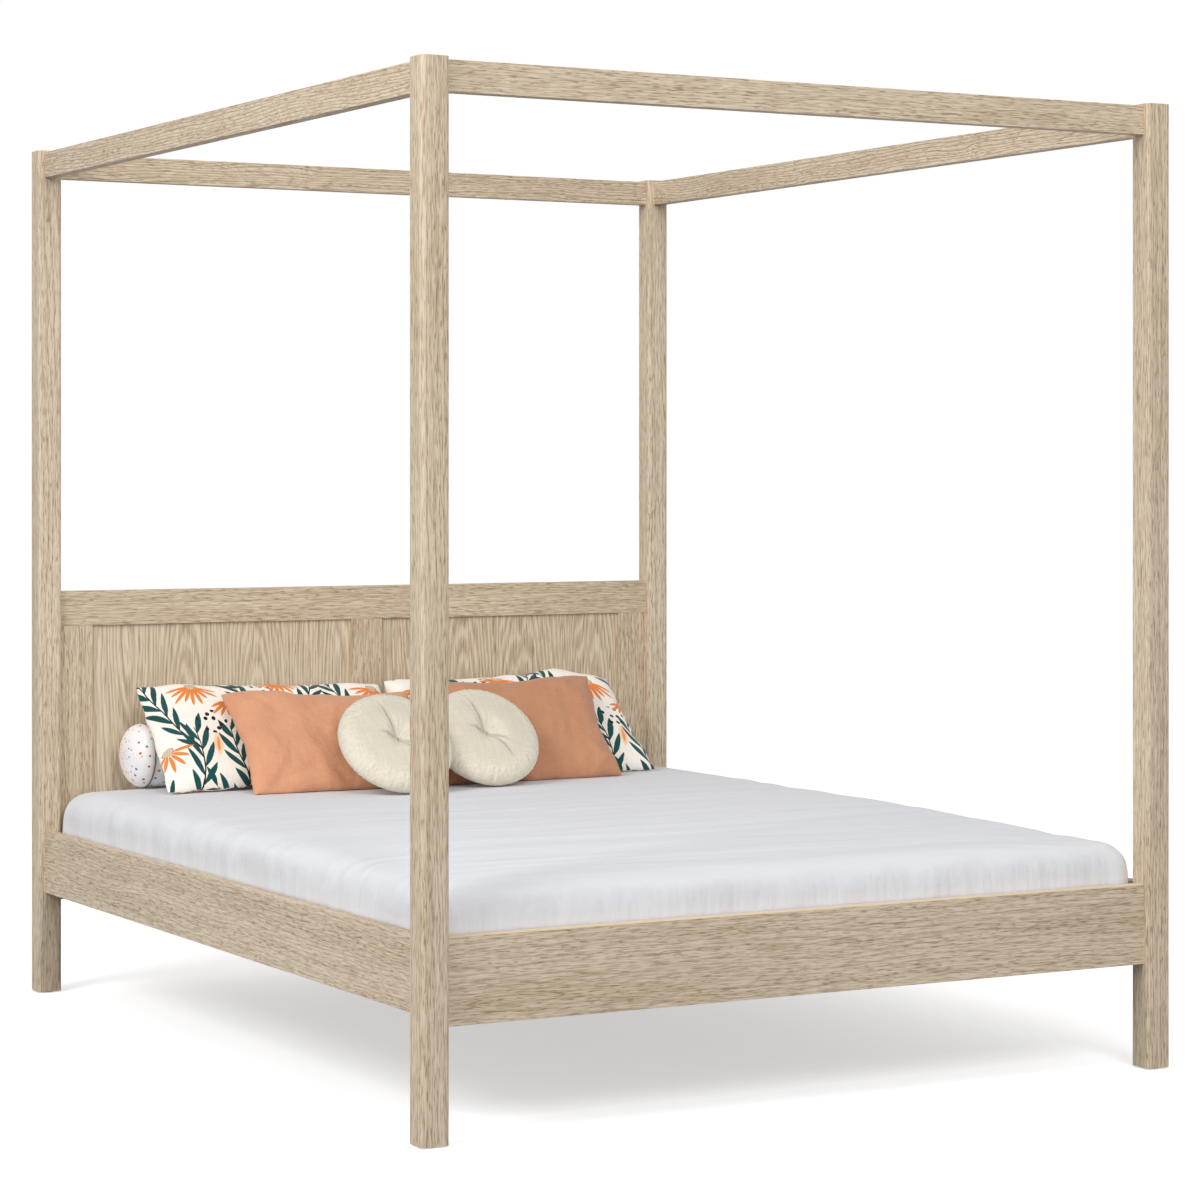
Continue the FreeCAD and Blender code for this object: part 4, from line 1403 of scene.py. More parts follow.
@dataclass
class Bolster:
    """A long round bolster with domed ends, and a thin cord sewn in round each end."""

    body: str = "bolster"
    cord_radius: float = 1.6 * MM
    cord_inset: float = 56 * MM
    cord_sides: int = 10
    columns: int = 96
    barrel_rows: int = 90
    dome_rows: int = 22
    fullness: float = 2.15
    seed: int = 5

    def radius_at(self, x: Array, half: float, radius: float) -> Array:
        """The bolster's radius along its axis: full between the cords, then a superellipse to the pole."""
        dome = np.clip((np.abs(x) - (half - self.cord_inset)) / self.cord_inset, 0, 1)
        return radius * (1 - dome ** self.fullness) ** (1 / self.fullness)

    def surface(self, x: Array, turn: Array, half: float, radius: float, centre: Array) -> Array:
        """The cover as a grid of points.

        A point is the axis point plus the radius times the direction round it. Shallow seeded ripples, pleats
        and a groove at each cord, and a flat where it rests make it soft.

        Args:
            x: the places of the rings along the axis.
            turn: the angles round it.
            half, radius: the bolster's half length and radius.
            centre: its middle.

        Returns:
            A row of points a ring.
        """
        straight = half - self.cord_inset
        grid_x, grid_turn = np.meshgrid(x, turn, indexing="ij")
        size = self.radius_at(grid_x, half, radius)
        way = np.stack([np.zeros_like(grid_turn), np.cos(grid_turn), np.sin(grid_turn)], -1)
        spots = np.stack([grid_x, np.cos(grid_turn) * radius, np.sin(grid_turn) * radius], -1).reshape(-1, 3)
        soft = 0.9 * MM * ripples(self.seed, spots, (0.16, 0.08, 0.08)).reshape(size.shape)
        pleats = 0.7 * MM * np.sin(grid_turn * 23 + 2 * np.sin(grid_turn * 3))
        near_cord = np.exp(-((np.abs(grid_x) - straight) / (9 * MM)) ** 2)
        groove = -2.4 * MM * np.exp(-((np.abs(grid_x) - straight) / (3.5 * MM)) ** 2)
        size = size + (soft * 0.8 - 1.2 * MM + near_cord * pleats * 0.8 + groove) * (size / radius)
        points = centre + way * size[..., None]
        points[..., 0] = centre[0] + grid_x
        rest = sheet_height(0.4, float(centre[1])) + 0.4 * MM
        drop = centre[2] - radius - rest
        below = np.clip(-np.sin(grid_turn), 0, 1)
        points[..., 2] -= drop * below ** 2 * smooth(size, 0.2 * radius, 0.7 * radius)
        points[..., 2] = np.maximum(points[..., 2], rest)
        return points

    @staticmethod
    def unroll(walked: Array, round_it: Array, full_turn: float, quads: Array, caps: Array) -> Array:
        """The cover's flat coordinates: the way walked along it, and the way round it.

        A face that crosses the joint carries on past the full turn. A pole lies between its two neighbours.

        Args:
            walked: the way walked to each ring.
            round_it: the way round to each point of a ring.
            full_turn: the way all round.
            quads, caps: the faces' point numbers.

        Returns:
            One row a face corner.
        """
        u_of, v_of = np.repeat(walked, len(round_it)), np.tile(round_it, len(walked))
        quad_uv = np.stack([u_of[quads], v_of[quads]], -1)
        wrapped = (quad_uv[..., 1].max(1) - quad_uv[..., 1].min(1)) > full_turn / 2
        quad_uv[..., 1] += np.where(wrapped[:, None] & (quad_uv[..., 1] < full_turn / 2), full_turn, 0)
        cap_u = np.concatenate([u_of, [-6 * MM, walked[-1] + 6 * MM]])[caps]
        cap_v = np.concatenate([v_of, [0, 0]])[caps]
        at_pole = caps >= len(u_of)
        beside = np.where(at_pole, np.nan, cap_v)
        apart = (np.nanmax(beside, 1) - np.nanmin(beside, 1)) > full_turn / 2
        cap_v = cap_v + np.where(apart[:, None] & (cap_v < full_turn / 2) & ~at_pole, full_turn, 0)
        between = np.where(at_pole, 0, cap_v).sum(1) / 2
        cap_v = np.where(at_pole, between[:, None], cap_v)
        return np.concatenate([quad_uv.reshape(-1, 2), np.stack([cap_u, cap_v], -1).reshape(-1, 2)])

    def build(self, cotton: DottedCotton, cord: PlainCloth) -> None:
        """Builds the bolster and its two cords.

        Args:
            cotton: its cover.
            cord: the cords' cloth.
        """
        low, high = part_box("bolster")
        half, radius = (high.x - low.x) / 2, (high.z - low.z) / 2
        centre = np.array((low + high) / 2)
        straight = half - self.cord_inset
        bend = np.linspace(0, 90, self.dome_rows + 1)[1:-1] * math.pi / 180
        dome = straight + self.cord_inset * np.sin(bend) ** (2 / self.fullness)
        x = np.concatenate([-dome[::-1], np.linspace(-straight, straight, self.barrel_rows), dome])
        turn = np.linspace(0, 2 * math.pi, self.columns + 1)[:-1]
        points = self.surface(x, turn, half, radius, centre)
        quads = lattice(len(x), self.columns, closed=True)
        count, last_row = len(x) * self.columns, (len(x) - 1) * self.columns
        j = np.arange(self.columns)
        after = (j + 1) % self.columns
        pole = np.full(self.columns, count)
        caps = np.concatenate([np.stack([pole, after, j], -1),
                               np.stack([pole + 1, last_row + j, last_row + after], -1)])
        steps = np.hypot(np.diff(x), np.diff(self.radius_at(x, half, radius)))
        walked = np.concatenate([[0], np.cumsum(steps)])
        cloth = self.unroll(walked, turn * radius, 2 * math.pi * radius, quads, caps)
        poles = np.array([[centre[0] - half, centre[1], centre[2]], [centre[0] + half, centre[1], centre[2]]])
        every = np.concatenate([points.reshape(-1, 3), poles])
        piece = make_piece("bolster_cover", every, quads, caps, cloth)
        dress(piece, cotton.material())
        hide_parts("bolster")
        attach(piece, self.body)
        for name, place in (("left", -straight), ("right", straight)):
            row = int(np.abs(x - place).argmin())
            self.build_cord(f"bolster_cord_{name}", points[row], cord)
        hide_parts("bolster_piping")

    def build_cord(self, name: str, ring: Array, cord: PlainCloth) -> None:
        """A cord: a tube along a ring of the cover, pressed a little into it.

        Args:
            name: the piece's name.
            ring: the ring's points.
            cord: the cord's cloth.
        """
        out = ring - ring.mean(0)
        out /= np.linalg.norm(out, axis=1)[:, None]
        size, sides, count = self.cord_radius, self.cord_sides, len(ring)
        points, quads = ring_tube(ring + out * size * 0.9, out, (1.0, 0.0, 0.0), size, sides)
        round_it = np.linspace(0, 2 * math.pi * size, sides + 1)[:-1]
        cloth = np.column_stack([np.repeat(np.arange(count), sides) * 5 * MM, np.tile(round_it, count)])
        piece = make_piece(name, points, quads, cloth=cloth)
        dress(piece, cord.material())
        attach(piece, self.body)


# ------------------------------------------------------------------------------
# Cushions


class Support(Enum):
    """What a cushion is sewn from: two rectangles, or two discs tied at the middle."""

    RECTANGLE = "rectangle"
    DISC = "disc"


@dataclass
class Cushion:
    """Two pieces of cloth sewn together round the edge and blown up by a cloth simulation.

    The cloth starts as a flat lens and swells under pressure with no gravity. The result is fitted to the
    cushion's own size, its swell is limited front and back, and it is leaned back into its place.
    """

    node: str
    slot: str
    body: str
    width: float
    height: float
    lean: float
    front: float
    back: float
    support: Support = Support.RECTANGLE
    pitch: float = 9.5 * MM
    pull: float = 10 * MM
    sink: float = 0.0
    creases: Tuple[Crease, ...] = ()
    top: Tuple[float, ...] = (0, 0, 0, 0, 0)
    bottom: Tuple[float, ...] = (0, 0, 0, 0, 0)
    left: Tuple[float, ...] = (0, 0, 0, 0, 0)
    right: Tuple[float, ...] = (0, 0, 0, 0, 0)
    pressure: float = 4.0
    start_swell: float = 0.55
    steps: int = 20
    seed: int = 3
    print_offset: Pair = (0.0, 0.0)
    back_offset: Pair = (0.11, 0.07)

    def outline(self) -> Tuple[Array, Array, int, int]:
        """The flat cloth as a grid of points.

        A rectangle's sides stay straight, as the parabola that would draw them in has a depth of 0. A disc is
        the square's grid, carried onto a circle by scaling each point by its larger coordinate over its
        distance from the middle.

        Returns:
            The grid's x and y, and its numbers of rows and columns.
        """
        columns = int(round(self.width / self.pitch))
        rows = int(round(self.height / self.pitch))
        across, up = np.meshgrid(np.linspace(-1, 1, columns + 1), np.linspace(-1, 1, rows + 1))
        if self.support is Support.DISC:
            larger = np.maximum(np.abs(across), np.abs(up))
            distance = np.maximum(np.hypot(across, up), 1e-9)
            return across * larger / distance, up * larger / distance, rows + 1, columns + 1
        drawn = 0.0
        x = across * (1 - drawn / self.width * (1 - up ** 2))
        y = up * (1 - drawn / self.height * (1 - across ** 2))
        return x, y, rows + 1, columns + 1

    def lens(self, x: Array, y: Array) -> Array:
        """The start's swell, from 0 at the edge: a rounded product of two arches, or a dome with a tuft."""
        if self.support is Support.DISC:
            distance = np.clip(np.hypot(x, y), 0, 1)
            dome = np.sqrt(np.clip(1 - distance ** 4, 0, 1))
            return dome * (1 - 0.9 * np.exp(-(distance / 0.16) ** 2))
        edge_x = np.clip(1 - np.abs(x) ** 3, 0, 1)
        edge_y = np.clip(1 - np.abs(y) ** 3, 0, 1)
        return np.sqrt(edge_x * edge_y)

    def sew(self) -> Tuple[Piece, Array]:
        """Lays the two cloths edge to edge as one closed mesh.

        Returns:
            The mesh object, standing upright at the origin, and which points are on the seam.
        """
        x, y, rows, columns = self.outline()
        swell = self.lens(x, y)
        count = rows * columns
        row, column = np.meshgrid(np.arange(rows), np.arange(columns), indexing="ij")
        seam = (row == 0) | (row == rows - 1) | (column == 0) | (column == columns - 1)
        flat_x, flat_y = x.ravel() * self.width / 2, y.ravel() * self.height / 2
        front = np.stack([flat_x, flat_y, swell.ravel() * self.front * self.start_swell], -1)
        back = np.stack([flat_x, flat_y, -swell.ravel() * self.back * self.start_swell], -1)
        inner = ~seam.ravel()
        numbers = np.arange(count)
        numbers[inner] = count + np.arange(inner.sum())
        front_quads = lattice(rows, columns)
        back_quads = numbers[front_quads][:, ::-1]
        points = np.concatenate([front, back[inner]])
        u, v = flat_x + self.print_offset[0], flat_y + self.print_offset[1]
        front_uv = np.stack([u, v], -1)[front_quads]
        back_uv = np.stack([self.back_offset[0] - u, self.back_offset[1] + v], -1)[front_quads][:, ::-1]
        cloth = np.concatenate([front_uv.reshape(-1, 2), back_uv.reshape(-1, 2)])
        quads = np.concatenate([front_quads, back_quads])
        piece = make_piece(self.node + "_cover", points, quads, cloth=cloth)
        on_seam = np.concatenate([seam.ravel(), np.zeros(int(inner.sum()), bool)])
        return piece, on_seam

    def blow_up(self, piece: Piece) -> None:
        """Swells the cloth under pressure and keeps the result in the mesh.

        Args:
            piece: the sewn cloth.
        """
        rest = read_points(piece)
        cloth = piece.modifiers.new("swell", "CLOTH")
        settings = cloth.settings
        settings.quality = 6
        settings.mass = 0.25
        settings.tension_stiffness = 22
        settings.compression_stiffness = 22
        settings.shear_stiffness = 6
        settings.bending_stiffness = 0.06
        settings.air_damping = 2.0
        settings.use_pressure = True
        settings.uniform_pressure_force = self.pressure
        settings.effector_weights.gravity = 0
        cloth.collision_settings.use_collision = False
        cloth.collision_settings.use_self_collision = False
        if self.support is Support.DISC:
            tied = np.nonzero(np.hypot(rest[:, 0], rest[:, 1]) < self.width * 0.035)[0]
            group = piece.vertex_groups.new(name="tuft")
            group.add([int(number) for number in tied], 1.0, "REPLACE")
            settings.vertex_group_mass = "tuft"
        cloth.point_cache.frame_start = 1
        cloth.point_cache.frame_end = self.steps
        scene = bpy.context.scene
        for number in range(1, self.steps + 1):
            scene.frame_set(number)
        swollen = read_points(piece)
        piece.modifiers.remove(cloth)
        scene.frame_set(1)
        moved = swollen[:, :2] - rest[:, :2]
        level = np.abs(rest[:, 1]) < self.pitch
        side = np.abs(rest[:, 0]) > self.width / 2 - self.pitch / 2
        drawn = float(np.abs(moved[level & side, 0]).mean())
        if self.support is Support.RECTANGLE:
            swollen[:, :2] = rest[:, :2] + moved * min(1.0, self.pull / max(drawn, 1e-6))
        write_points(piece, swollen)

    def settle(self, points: Array, on_seam: Array) -> Array:
        """Fits the swollen cloth to the cushion's size and softly limits its swell.

        A swell w becomes L times the hyperbolic tangent of w over L, where L is the limit of its side. A disc
        is a quarter that swell, and three quarters a full round profile with a dip at the tuft.

        Args:
            points: the swollen points.
            on_seam: which are on the seam.

        Returns:
            The fitted points.
        """
        low, high = points[:, :2].min(0), points[:, :2].max(0)
        points = points.copy()
        size = np.array([self.width, self.height])
        points[:, :2] = (points[:, :2] - (low + high) / 2) * size / (high - low)
        depth = points[:, 2] - float(np.median(points[on_seam, 2]))
        limit = np.where(depth > 0, self.front, self.back)
        points[:, 2] = limit * np.tanh(depth / limit * 1.05)
        if self.support is Support.DISC:
            share = np.clip(np.hypot(points[:, 0], points[:, 1]) / (self.width / 2), 0, 1)
            full = limit * (1 - share ** 3) ** 0.48 * (1 - 0.5 * np.exp(-(share / 0.20) ** 2))
            points[:, 2] = 0.25 * points[:, 2] + 0.75 * full * np.sign(depth) * ~on_seam
        return points

    @staticmethod
    def amount(stations: Tuple[float, ...], place: Array) -> Array:
        """How far a side moves at places along it.

        Args:
            stations: the amounts in mm at even stations along the side.
            place: shares of the side's length.

        Returns:
            The amounts in metres, joined smoothly from station to station.
        """
        spot = place * (len(stations) - 1)
        before = np.clip(spot.astype(int), 0, len(stations) - 2)
        values = np.array(stations, float) * MM
        share = smooth(spot - before, 0, 1)
        return values[before] * (1 - share) + values[before + 1] * share

    def reshape(self, points: Array) -> Array:
        """Moves the rectangle's four sides by their own amounts, in mm, given at five stations along each.

        Between stations the amount is joined by 3t squared less 2t cubed. A point moves by both sides'
        amounts, each in proportion to its nearness.

        Args:
            points: the fitted points.

        Returns:
            The moved points.
        """
        u = np.clip(points[:, 0] / self.width + 0.5, 0, 1)
        v = np.clip(points[:, 1] / self.height + 0.5, 0, 1)
        moved = points.copy()
        moved[:, 0] += self.amount(self.left, v) * (1 - u) + self.amount(self.right, v) * u
        moved[:, 1] += self.amount(self.bottom, u) * (1 - v) + self.amount(self.top, u) * v
        return moved

    def gather(self, points: Array) -> Array:
        """The disc's sewn detail: pleats round the rim, creases from the tuft and a dimple at it.

        Args:
            points: the fitted points.

        Returns:
            The detailed points.
        """
        radius = np.hypot(points[:, 0], points[:, 1])
        share = radius / (self.width / 2)
        angle = np.arctan2(points[:, 1], points[:, 0])
        way = np.sign(points[:, 2])
        draw = np.random.default_rng(self.seed)
        pleat = np.zeros(len(points))
        for _ in range(9):
            pleat += np.cos(angle * draw.integers(30, 74) + draw.uniform(0, 2 * math.pi) + share * 7)
        rim = smooth(share, 0.72, 0.93)
        points = points.copy()
        points[:, 2] += way * pleat * 0.60 * MM * rim
        points[:, :2] *= (1 + pleat * 0.0011 * smooth(share, 0.9, 1.0))[:, None]
        crease = np.zeros(len(points))
        for heading, reach, depth in ((104, 0.92, 6.5), (-66, 0.86, 5.5), (-44, 0.66, 3.5), (14, 0.46, 3.2),
                                      (172, 0.52, 3.6), (-128, 0.48, 3.0), (56, 0.44, 2.6)):
            line = math.radians(heading + 0.5 * self.seed)
            off = np.angle(np.exp(1j * (angle - line)))
            across = radius * np.sin(off)
            bell = np.exp(-(across / (5.0 * MM + 0.05 * radius)) ** 2) * (np.abs(off) < 1.2)
            crease += depth * MM * bell * (1 - smooth(share, 0.15, reach))
        points[:, 2] -= way * crease * smooth(share, 0.03, 0.08)
        return points

    def pucker(self, points: Array) -> Array:
        """The rectangle's sewn detail: puckers that run in from the seam, an uneven filling and creases.

        A pucker is seeded noise along the edge that fades exponentially inwards.

        Args:
            points: the fitted points.

        Returns:
            The detailed points.
        """
        from_side = self.width / 2 - np.abs(points[:, 0])
        from_end = self.height / 2 - np.abs(points[:, 1])
        way = np.sign(points[:, 2])
        inside = smooth(np.abs(points[:, 2]), 0.5 * MM, 9 * MM)
        across_end = ripples(self.seed, points[:, :1] + 0.3 * way[:, None], (0.045,), 40)
        across_side = ripples(self.seed + 1, points[:, 1:2] + 0.3 * way[:, None], (0.045,), 40)
        fade_end, fade_side = np.exp(-from_end / (24 * MM)), np.exp(-from_side / (24 * MM))
        edge = 2.2 * MM * (across_end * fade_end + across_side * fade_side)
        spots = np.column_stack([points[:, :2], way * 0.1])
        filling = 2.2 * MM * ripples(self.seed + 2, spots, (0.12, 0.10, 0.1))
        folds = sum((crease.lift(points[:, :2]) for crease in self.creases), np.zeros(len(points)))
        points = points.copy()
        points[:, 2] += way * inside * (edge + filling + folds * (way > 0))
        near = np.exp(-np.minimum(from_side, from_end) / (20 * MM))
        points[:, 0] += 1.6 * MM * near * ripples(self.seed + 4, points[:, 1:2], (0.07,), 30)
        points[:, 1] += 1.6 * MM * near * ripples(self.seed + 5, points[:, :1], (0.07,), 30)
        return points

    def stand(self, points: Array, seat: Optional[float] = None) -> Array:
        """Leans the cushion back and moves it to its node's middle.

        Args:
            points: upright points, x across, y up and z forwards.
            seat: the height that nothing goes under.

        Returns:
            The points in the bed's frame.
        """
        low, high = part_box(self.node)
        lean = math.radians(self.lean)
        up = np.array([0, math.sin(lean), math.cos(lean)])
        out = np.array([0, -math.cos(lean), math.sin(lean)])
        across = np.array([1.0, 0, 0])
        placed = (np.array((low + high) / 2) + points[:, :1] * across + (points[:, 1:2] - self.sink) * up
                  + points[:, 2:3] * out)
        if seat is not None:
            placed[:, 2] = np.maximum(placed[:, 2], seat)
        return placed

    def build(self, finish: Any) -> None:
        """Builds the cushion.

        Args:
            finish: its cloth.
        """
        piece, on_seam = self.sew()
        self.blow_up(piece)
        points = self.settle(read_points(piece), on_seam)
        points = self.gather(points) if self.support is Support.DISC else self.reshape(self.pucker(points))
        seat = sheet_height(0.3, 0.6) + 0.4 * MM
        write_points(piece, self.stand(points, seat))
        subdivide(piece)
        dress(piece, finish.material())
        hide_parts(self.node)
        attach(piece, self.body)
        if self.support is Support.DISC:
            self.build_tuft(points)

    def build_tuft(self, points: Array) -> None:
        """The tuft: a small covered button, a flattened dome pressed into the middle of the front.

        Args:
            points: the upright cushion.
        """
        near = (np.hypot(points[:, 0], points[:, 1]) < 12 * MM) & (points[:, 2] > 0)
        seat = (float(points[near, 2].min()) if near.any() else 0.0) - 1.2 * MM
        sides, rows, size, thick = 24, 6, 4.5 * MM, 2.5 * MM
        turn = np.linspace(0, 2 * math.pi, sides + 1)[:-1]
        rise = np.linspace(0, math.pi / 2, rows + 1)[:-1]
        grid_rise, grid_turn = np.meshgrid(rise, turn, indexing="ij")
        reach = size * np.cos(grid_rise)
        height = seat + thick * np.sin(grid_rise)
        dome = np.stack([reach * np.cos(grid_turn), reach * np.sin(grid_turn), height], -1)
        every = np.concatenate([dome.reshape(-1, 3), [[0, 0, seat + thick], [0, 0, seat - 1.2 * MM]]])
        j = np.arange(sides)
        after, last, count = (j + 1) % sides, (rows - 1) * sides, rows * sides
        caps = np.concatenate([np.stack([last + j, last + after, np.full(sides, count)], -1),
                               np.stack([after, j, np.full(sides, count + 1)], -1)])
        piece = make_piece(self.node + "_tuft", self.stand(every), lattice(rows, sides, closed=True), caps,
                           every[:, :2])
        dress(piece, bpy.data.objects[self.node + "_cover"].data.materials[0])
        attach(piece, self.body)


# ------------------------------------------------------------------------------
# Frame, stage and main


@dataclass
class OakFrame:
    """The carried-over frame: every board, slat and fitting keeps its shape and gets its finish."""

    upright: Tuple[str, ...] = ("post_foot_left", "post_foot_right", "post_head_left", "post_head_right",
                                "headboard_stile_left", "headboard_stile_centre", "headboard_stile_right")
    sideways: Tuple[str, ...] = ("canopy_rail_foot", "canopy_rail_head", "foot_rail", "headboard_top_rail",
                                 "headboard_bottom_rail")
    lengthways: Tuple[str, ...] = ("canopy_rail_left", "canopy_rail_right", "side_rail_left",
                                   "side_rail_right")
    panels: Tuple[str, ...] = ("headboard_panel_left", "headboard_panel_right")
    # The boards whose top face and top edge get a painted highlight.
    highlit_tops: Tuple[str, ...] = ("foot_rail",)
    wavy: Tuple[str, ...] = ("canopy_rail_left", "canopy_rail_right", "canopy_rail_head")
    done: List[str] = field(default_factory=list)

    def coat(self, names: Sequence[str], material: Material) -> None:
        """Puts one material on several nodes."""
        for name in names:
            dress(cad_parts[name], material)
            self.done.append(name)

    def cut_and_painted_shade_of(self, name: str) -> Dict[str, Any]:
        """What sets a board's cut apart from the plain straight boards, and the painted shade that darkens
        the headboard's boards.

        Args:
            name: the board's node.

        Returns:
            The oak's sizes that differ.
        """
        if name in self.panels:
            return VENEER_CUT_AND_PAINTED_SHADE
        if name in self.wavy:
            return WAVY_CUT
        return HEADBOARD_PAINTED_SHADE if name.startswith("headboard") else {}

    def finish_oak(self) -> None:
        """Gives each oak board its own piece of the tree."""
        groups = ((self.upright, Grain.UPRIGHT), (self.sideways, Grain.SIDEWAYS),
                  (self.lengthways, Grain.LENGTHWAYS), (self.panels, Grain.UPRIGHT))
        seed = 1.0
        for names, grain in groups:
            for name in names:
                seed += 1.37
                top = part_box(name)[1].z if name in self.highlit_tops else None
                self.coat([name], Oak(f"oak_{name}", grain, seed, top=top, **self.cut_and_painted_shade_of(name)).material())

    def finish_base(self) -> None:
        """Gives the slats, ledges, beam and tapes their finishes."""
        slats = [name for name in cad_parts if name.startswith("slat_") and name[5:].isdigit()]
        birch = PlainTimber("birch_slat", Grain.SIDEWAYS, paint(232, 214, 182), paint(214, 190, 152))
        pine = PlainTimber("pine_ledge", Grain.LENGTHWAYS, paint(232, 205, 158), paint(206, 168, 116))
        beech = PlainTimber("beech_dowel", Grain.SIDEWAYS, paint(226, 196, 160), paint(206, 170, 130))
        self.coat(slats, birch.material())
        self.coat(["slat_ledge_left", "slat_ledge_right"], pine.material())
        self.coat(["rail_dowels", "headboard_dowels"], beech.material())
        self.coat(["slat_tape_left", "slat_tape_right"], WebbingTape().material())

    def finish_fittings(self) -> None:
        """Gives the steel and plastic fittings their finishes."""
        zinc = Steel("zinc_steel", *ZINC_COLOURS, 1.0, 0.34)
        black = Steel("black_steel", paint(30, 30, 32), paint(44, 44, 46), 0.0, 0.48)
        self.coat(["rail_bolts", "half_moon_washers", "rail_nuts", "cam_bolts", "ledge_screws",
                   "bracket_screws"], zinc.material())
        rail_side, rail_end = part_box("canopy_rail_right")[0].x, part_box("canopy_rail_head")[0].y
        self.coat(["cam_locks"], CappedCam(rail_side + 0.1 * MM, rail_end + 0.1 * MM).material())
        self.coat(["middle_beam", "beam_bracket_foot", "beam_bracket_head"], black.material())
        self.coat(["post_glides"], GlidePlastic().material())

    def build(self) -> None:
        """Finishes every carried-over node."""
        self.finish_oak()
        self.finish_base()
        self.finish_fittings()


@dataclass
class Studio:
    """A pale floor, soft light and the camera."""

    floor_size: float = 400.0
    camera_place: Tuple[float, float, float] = (-3.5102, -6.5261, 1.2377)
    camera_turn: float = -28.95
    lens: float = 99.66
    shift: float = -0.107
    horizon: float = 1.0
    zenith: float = 0.39
    ground: float = 0.05
    floor_glow: float = 0.50
    lamp_size: float = 2.6
    key_power: float = 217.0
    front_power: float = 184.0

    def build_floor(self) -> None:
        """A wide plain floor, with the faintest mottle."""
        half = self.floor_size / 2
        corners = np.array([[-half, -half, 0], [half, -half, 0], [half, half, 0], [-half, half, 0]], float)
        floor = make_piece("floor", corners, np.array([[0, 1, 2, 3]]))
        recipe = Recipe("pale_floor")
        mottle = recipe.noise(recipe.place(), 3.0)
        colour = recipe.mix(mottle.step(0.3, 0.7), paint(246, 246, 246), paint(249, 249, 249))
        dress(floor, recipe.finish(colour, 0.9, Emission_Color=(1.0, 1.0, 1.0, 1.0),
                                   Emission_Strength=self.floor_glow))
        floor.visible_diffuse = False

    def lamp(self, name: str, place: Sequence[float], aim: Sequence[float], power: float) -> None:
        """A square soft light.

        Args:
            name: its name.
            place, aim: where it hangs and what it points at.
            power: its power in watts.
        """
        data = bpy.data.lights.new(name, "AREA")
        data.shape = "SQUARE"
        data.size = self.lamp_size
        data.energy = power
        lamp = bpy.data.objects.new(name, data)
        bpy.context.scene.collection.objects.link(lamp)
        lamp.location = place
        lamp.rotation_euler = (Vector(aim) - Vector(place)).to_track_quat("-Z", "Y").to_euler()

    def build_sky(self) -> None:
        """A white sky, brightest at the horizon, dimmer overhead, and dark below the floor's far edge."""
        recipe = Recipe("studio_sky", sky=True)
        rise = recipe.split(recipe.node("ShaderNodeTexCoord", output="Generated"))[2]
        overhead = recipe.node("ShaderNodeMapRange", inputs={
            "Value": rise, "From Min": 0.22, "From Max": 0.7, "To Min": self.horizon, "To Max": self.zenith})
        below = recipe.node("ShaderNodeMapRange", inputs={
            "Value": rise, "From Min": -0.08, "From Max": -0.045, "To Min": self.ground, "To Max": 1.0})
        glow = recipe.node("ShaderNodeBackground", inputs={
            "Color": (1.0, 1.0, 1.0, 1.0), "Strength": below * overhead})
        end = recipe.tree.nodes.new("ShaderNodeOutputWorld")
        recipe.tree.links.new(glow.socket, end.inputs["Surface"])
        bpy.context.scene.world = recipe.made

    def build(self) -> None:
        """Sets up the floor, the lights, the sky and the camera."""
        self.build_floor()
        self.build_sky()
        self.lamp("key", (-5.5, -2.0, 4.6), (0, 0, 0.7), self.key_power)
        self.lamp("front", (-1.0, -6.5, 5.0), (0, 0, 0.8), self.front_power)
        bpy.context.scene.view_settings.view_transform = "Standard"
        data = bpy.data.cameras.new("camera")
        data.lens = self.lens
        data.shift_y = self.shift
        camera = bpy.data.objects.new("camera", data)
        camera.location = self.camera_place
        camera.rotation_euler = (math.pi / 2, 0, math.radians(self.camera_turn))
        bpy.context.scene.collection.objects.link(camera)
        bpy.context.scene.camera = camera


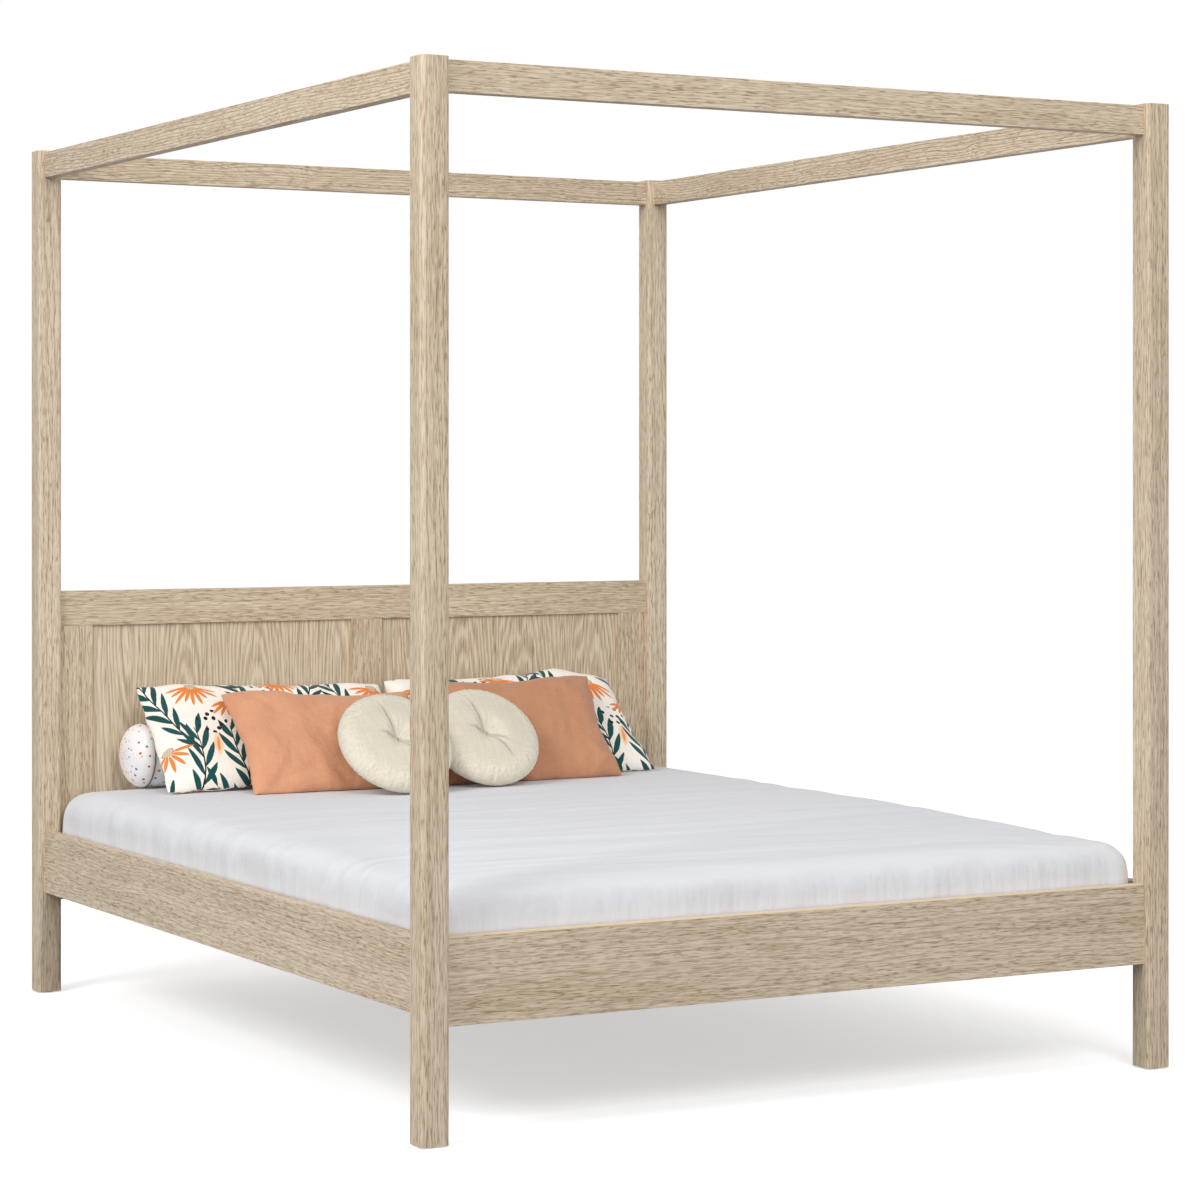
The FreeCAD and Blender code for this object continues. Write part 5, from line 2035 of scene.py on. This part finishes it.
def make_cushions() -> List[Tuple[Cushion, Any]]:
    """The six cushions with their cloths.

    Returns:
        Each cushion and its finish.
    """
    weave = Weave(0.9 * MM, 0.35 * MM, 9 * MM, 0.05)
    terracotta = (PlainCloth("terracotta_cotton", paint(223, 166, 130), paint(206, 145, 110), weave),
                  # The right plain cushion's cloth is a darker copy of the same terracotta: painted shade,
                  # for the lesser light that reaches it.
                  PlainCloth("terracotta_cotton_painted_shade", paint(201, 147, 113), paint(185, 129, 96), weave))
    linen = TuftedLinen()
    print_cloth = LeafPrint()
    folds = ((Crease((-0.228, -0.140), (-0.150, -0.035), -0.012, 8 * MM, 6 * MM),
              Crease((-0.215, -0.146), (-0.090, -0.105), 0.010, 8 * MM, -5 * MM),
              Crease((-0.228, 0.136), (-0.135, 0.055), 0.012, 9 * MM, -5 * MM),
              Crease((-0.020, -0.075), (0.020, 0.095), 0.015, 12 * MM, 4.5 * MM),
              Crease((0.012, -0.110), (0.050, 0.060), 0.012, 10 * MM, -5 * MM),
              Crease((-0.095, 0.030), (-0.050, -0.110), -0.010, 13 * MM, 3.5 * MM),
              Crease((0.228, -0.140), (0.150, -0.050), 0.012, 9 * MM, 5 * MM)),
             (Crease((0.045, -0.135), (0.095, 0.040), 0.012, 10 * MM, 5 * MM),
              Crease((0.095, -0.125), (0.135, 0.060), -0.010, 11 * MM, -5 * MM),
              Crease((0.226, -0.142), (0.150, -0.045), 0.012, 8 * MM, 6 * MM),
              Crease((0.228, 0.134), (0.145, 0.065), -0.012, 9 * MM, -5 * MM),
              Crease((-0.010, 0.100), (0.120, 0.122), 0.006, 9 * MM, 4 * MM),
              Crease((-0.228, -0.140), (-0.150, -0.050), -0.012, 9 * MM, 5 * MM)))
    printed_sides = ({"top": (8, 25, 24, 6, -8), "left": (-4, -3, -2, -2, -2),
                      "bottom": (-2, -10, -12, -10, -2)},
                     {"top": (3, 14, 24, 32, -14), "left": (-4, -8, -12, -14, -14),
                      "right": (17, 8, -5, -10, -20), "bottom": (-2, -10, -12, -10, -2)})
    plain_sides = ({"top": (-2, 3, -8, -24, -18), "bottom": (-2, -16, -22, -18, -2),
                    "left": (0, 3, 4, 2, -2)},
                   {"top": (6, 10, 8, 14, 12), "bottom": (-2, -14, -18, -12, 0),
                    "right": (0, 2, 4, 8, 12)})
    made: List[Tuple[Cushion, Any]] = []
    for number, side in enumerate(("left", "right")):
        printed, plain, tufted = (f"{kind}_cushion_{side}" for kind in ("printed", "plain", "round"))
        made.append((Cushion(printed, "leaf_print", printed, width=0.636, height=0.312, lean=42.0,
                             front=0.035, back=0.028, pull=11 * MM, sink=6 * MM, pressure=3.5,
                             seed=3 + number, print_offset=(0.335 + 0.05 * number, 0.155 + 0.02 * number),
                             **printed_sides[number]), print_cloth))
        made.append((Cushion(plain, "terracotta_cotton", plain, width=0.488, height=0.310, lean=42.0,
                             front=0.046, back=0.033, pull=15 * MM, sink=8 * MM, pressure=4.5,
                             seed=7 + number, creases=folds[number], **plain_sides[number]),
                     terracotta[number]))
        made.append((Cushion(tufted, "cream_linen", tufted, width=0.286, height=0.286, lean=42.5,
                             front=0.052, back=0.036, support=Support.DISC, pitch=6.5 * MM, sink=-3 * MM,
                             pressure=7.0, seed=9 + 4 * number), linen))
    return made


def main() -> None:
    """Builds the bed in order and reports each piece."""
    logging.basicConfig(level=logging.INFO, format="%(message)s")
    Studio().build()
    log.info("stage: floor, lights and camera")
    oak_frame = OakFrame()
    oak_frame.build()
    log.info("frame: %d nodes finished", len(oak_frame.done))
    Bed().build(SheetCotton(), Ticking())
    log.info("mattress and fitted sheet built")
    cord_weave = Weave(0.6 * MM, 0.2 * MM, 0.2 * MM, 0.004)
    brown_cord = PlainCloth("brown_cord", paint(122, 106, 92), paint(96, 82, 70), cord_weave)
    Bolster().build(DottedCotton(), brown_cord)
    log.info("bolster built")
    for cushion, finish in make_cushions():
        cushion.build(finish)
        log.info("%s built", cushion.node)


if __name__ == "__main__":
    main()
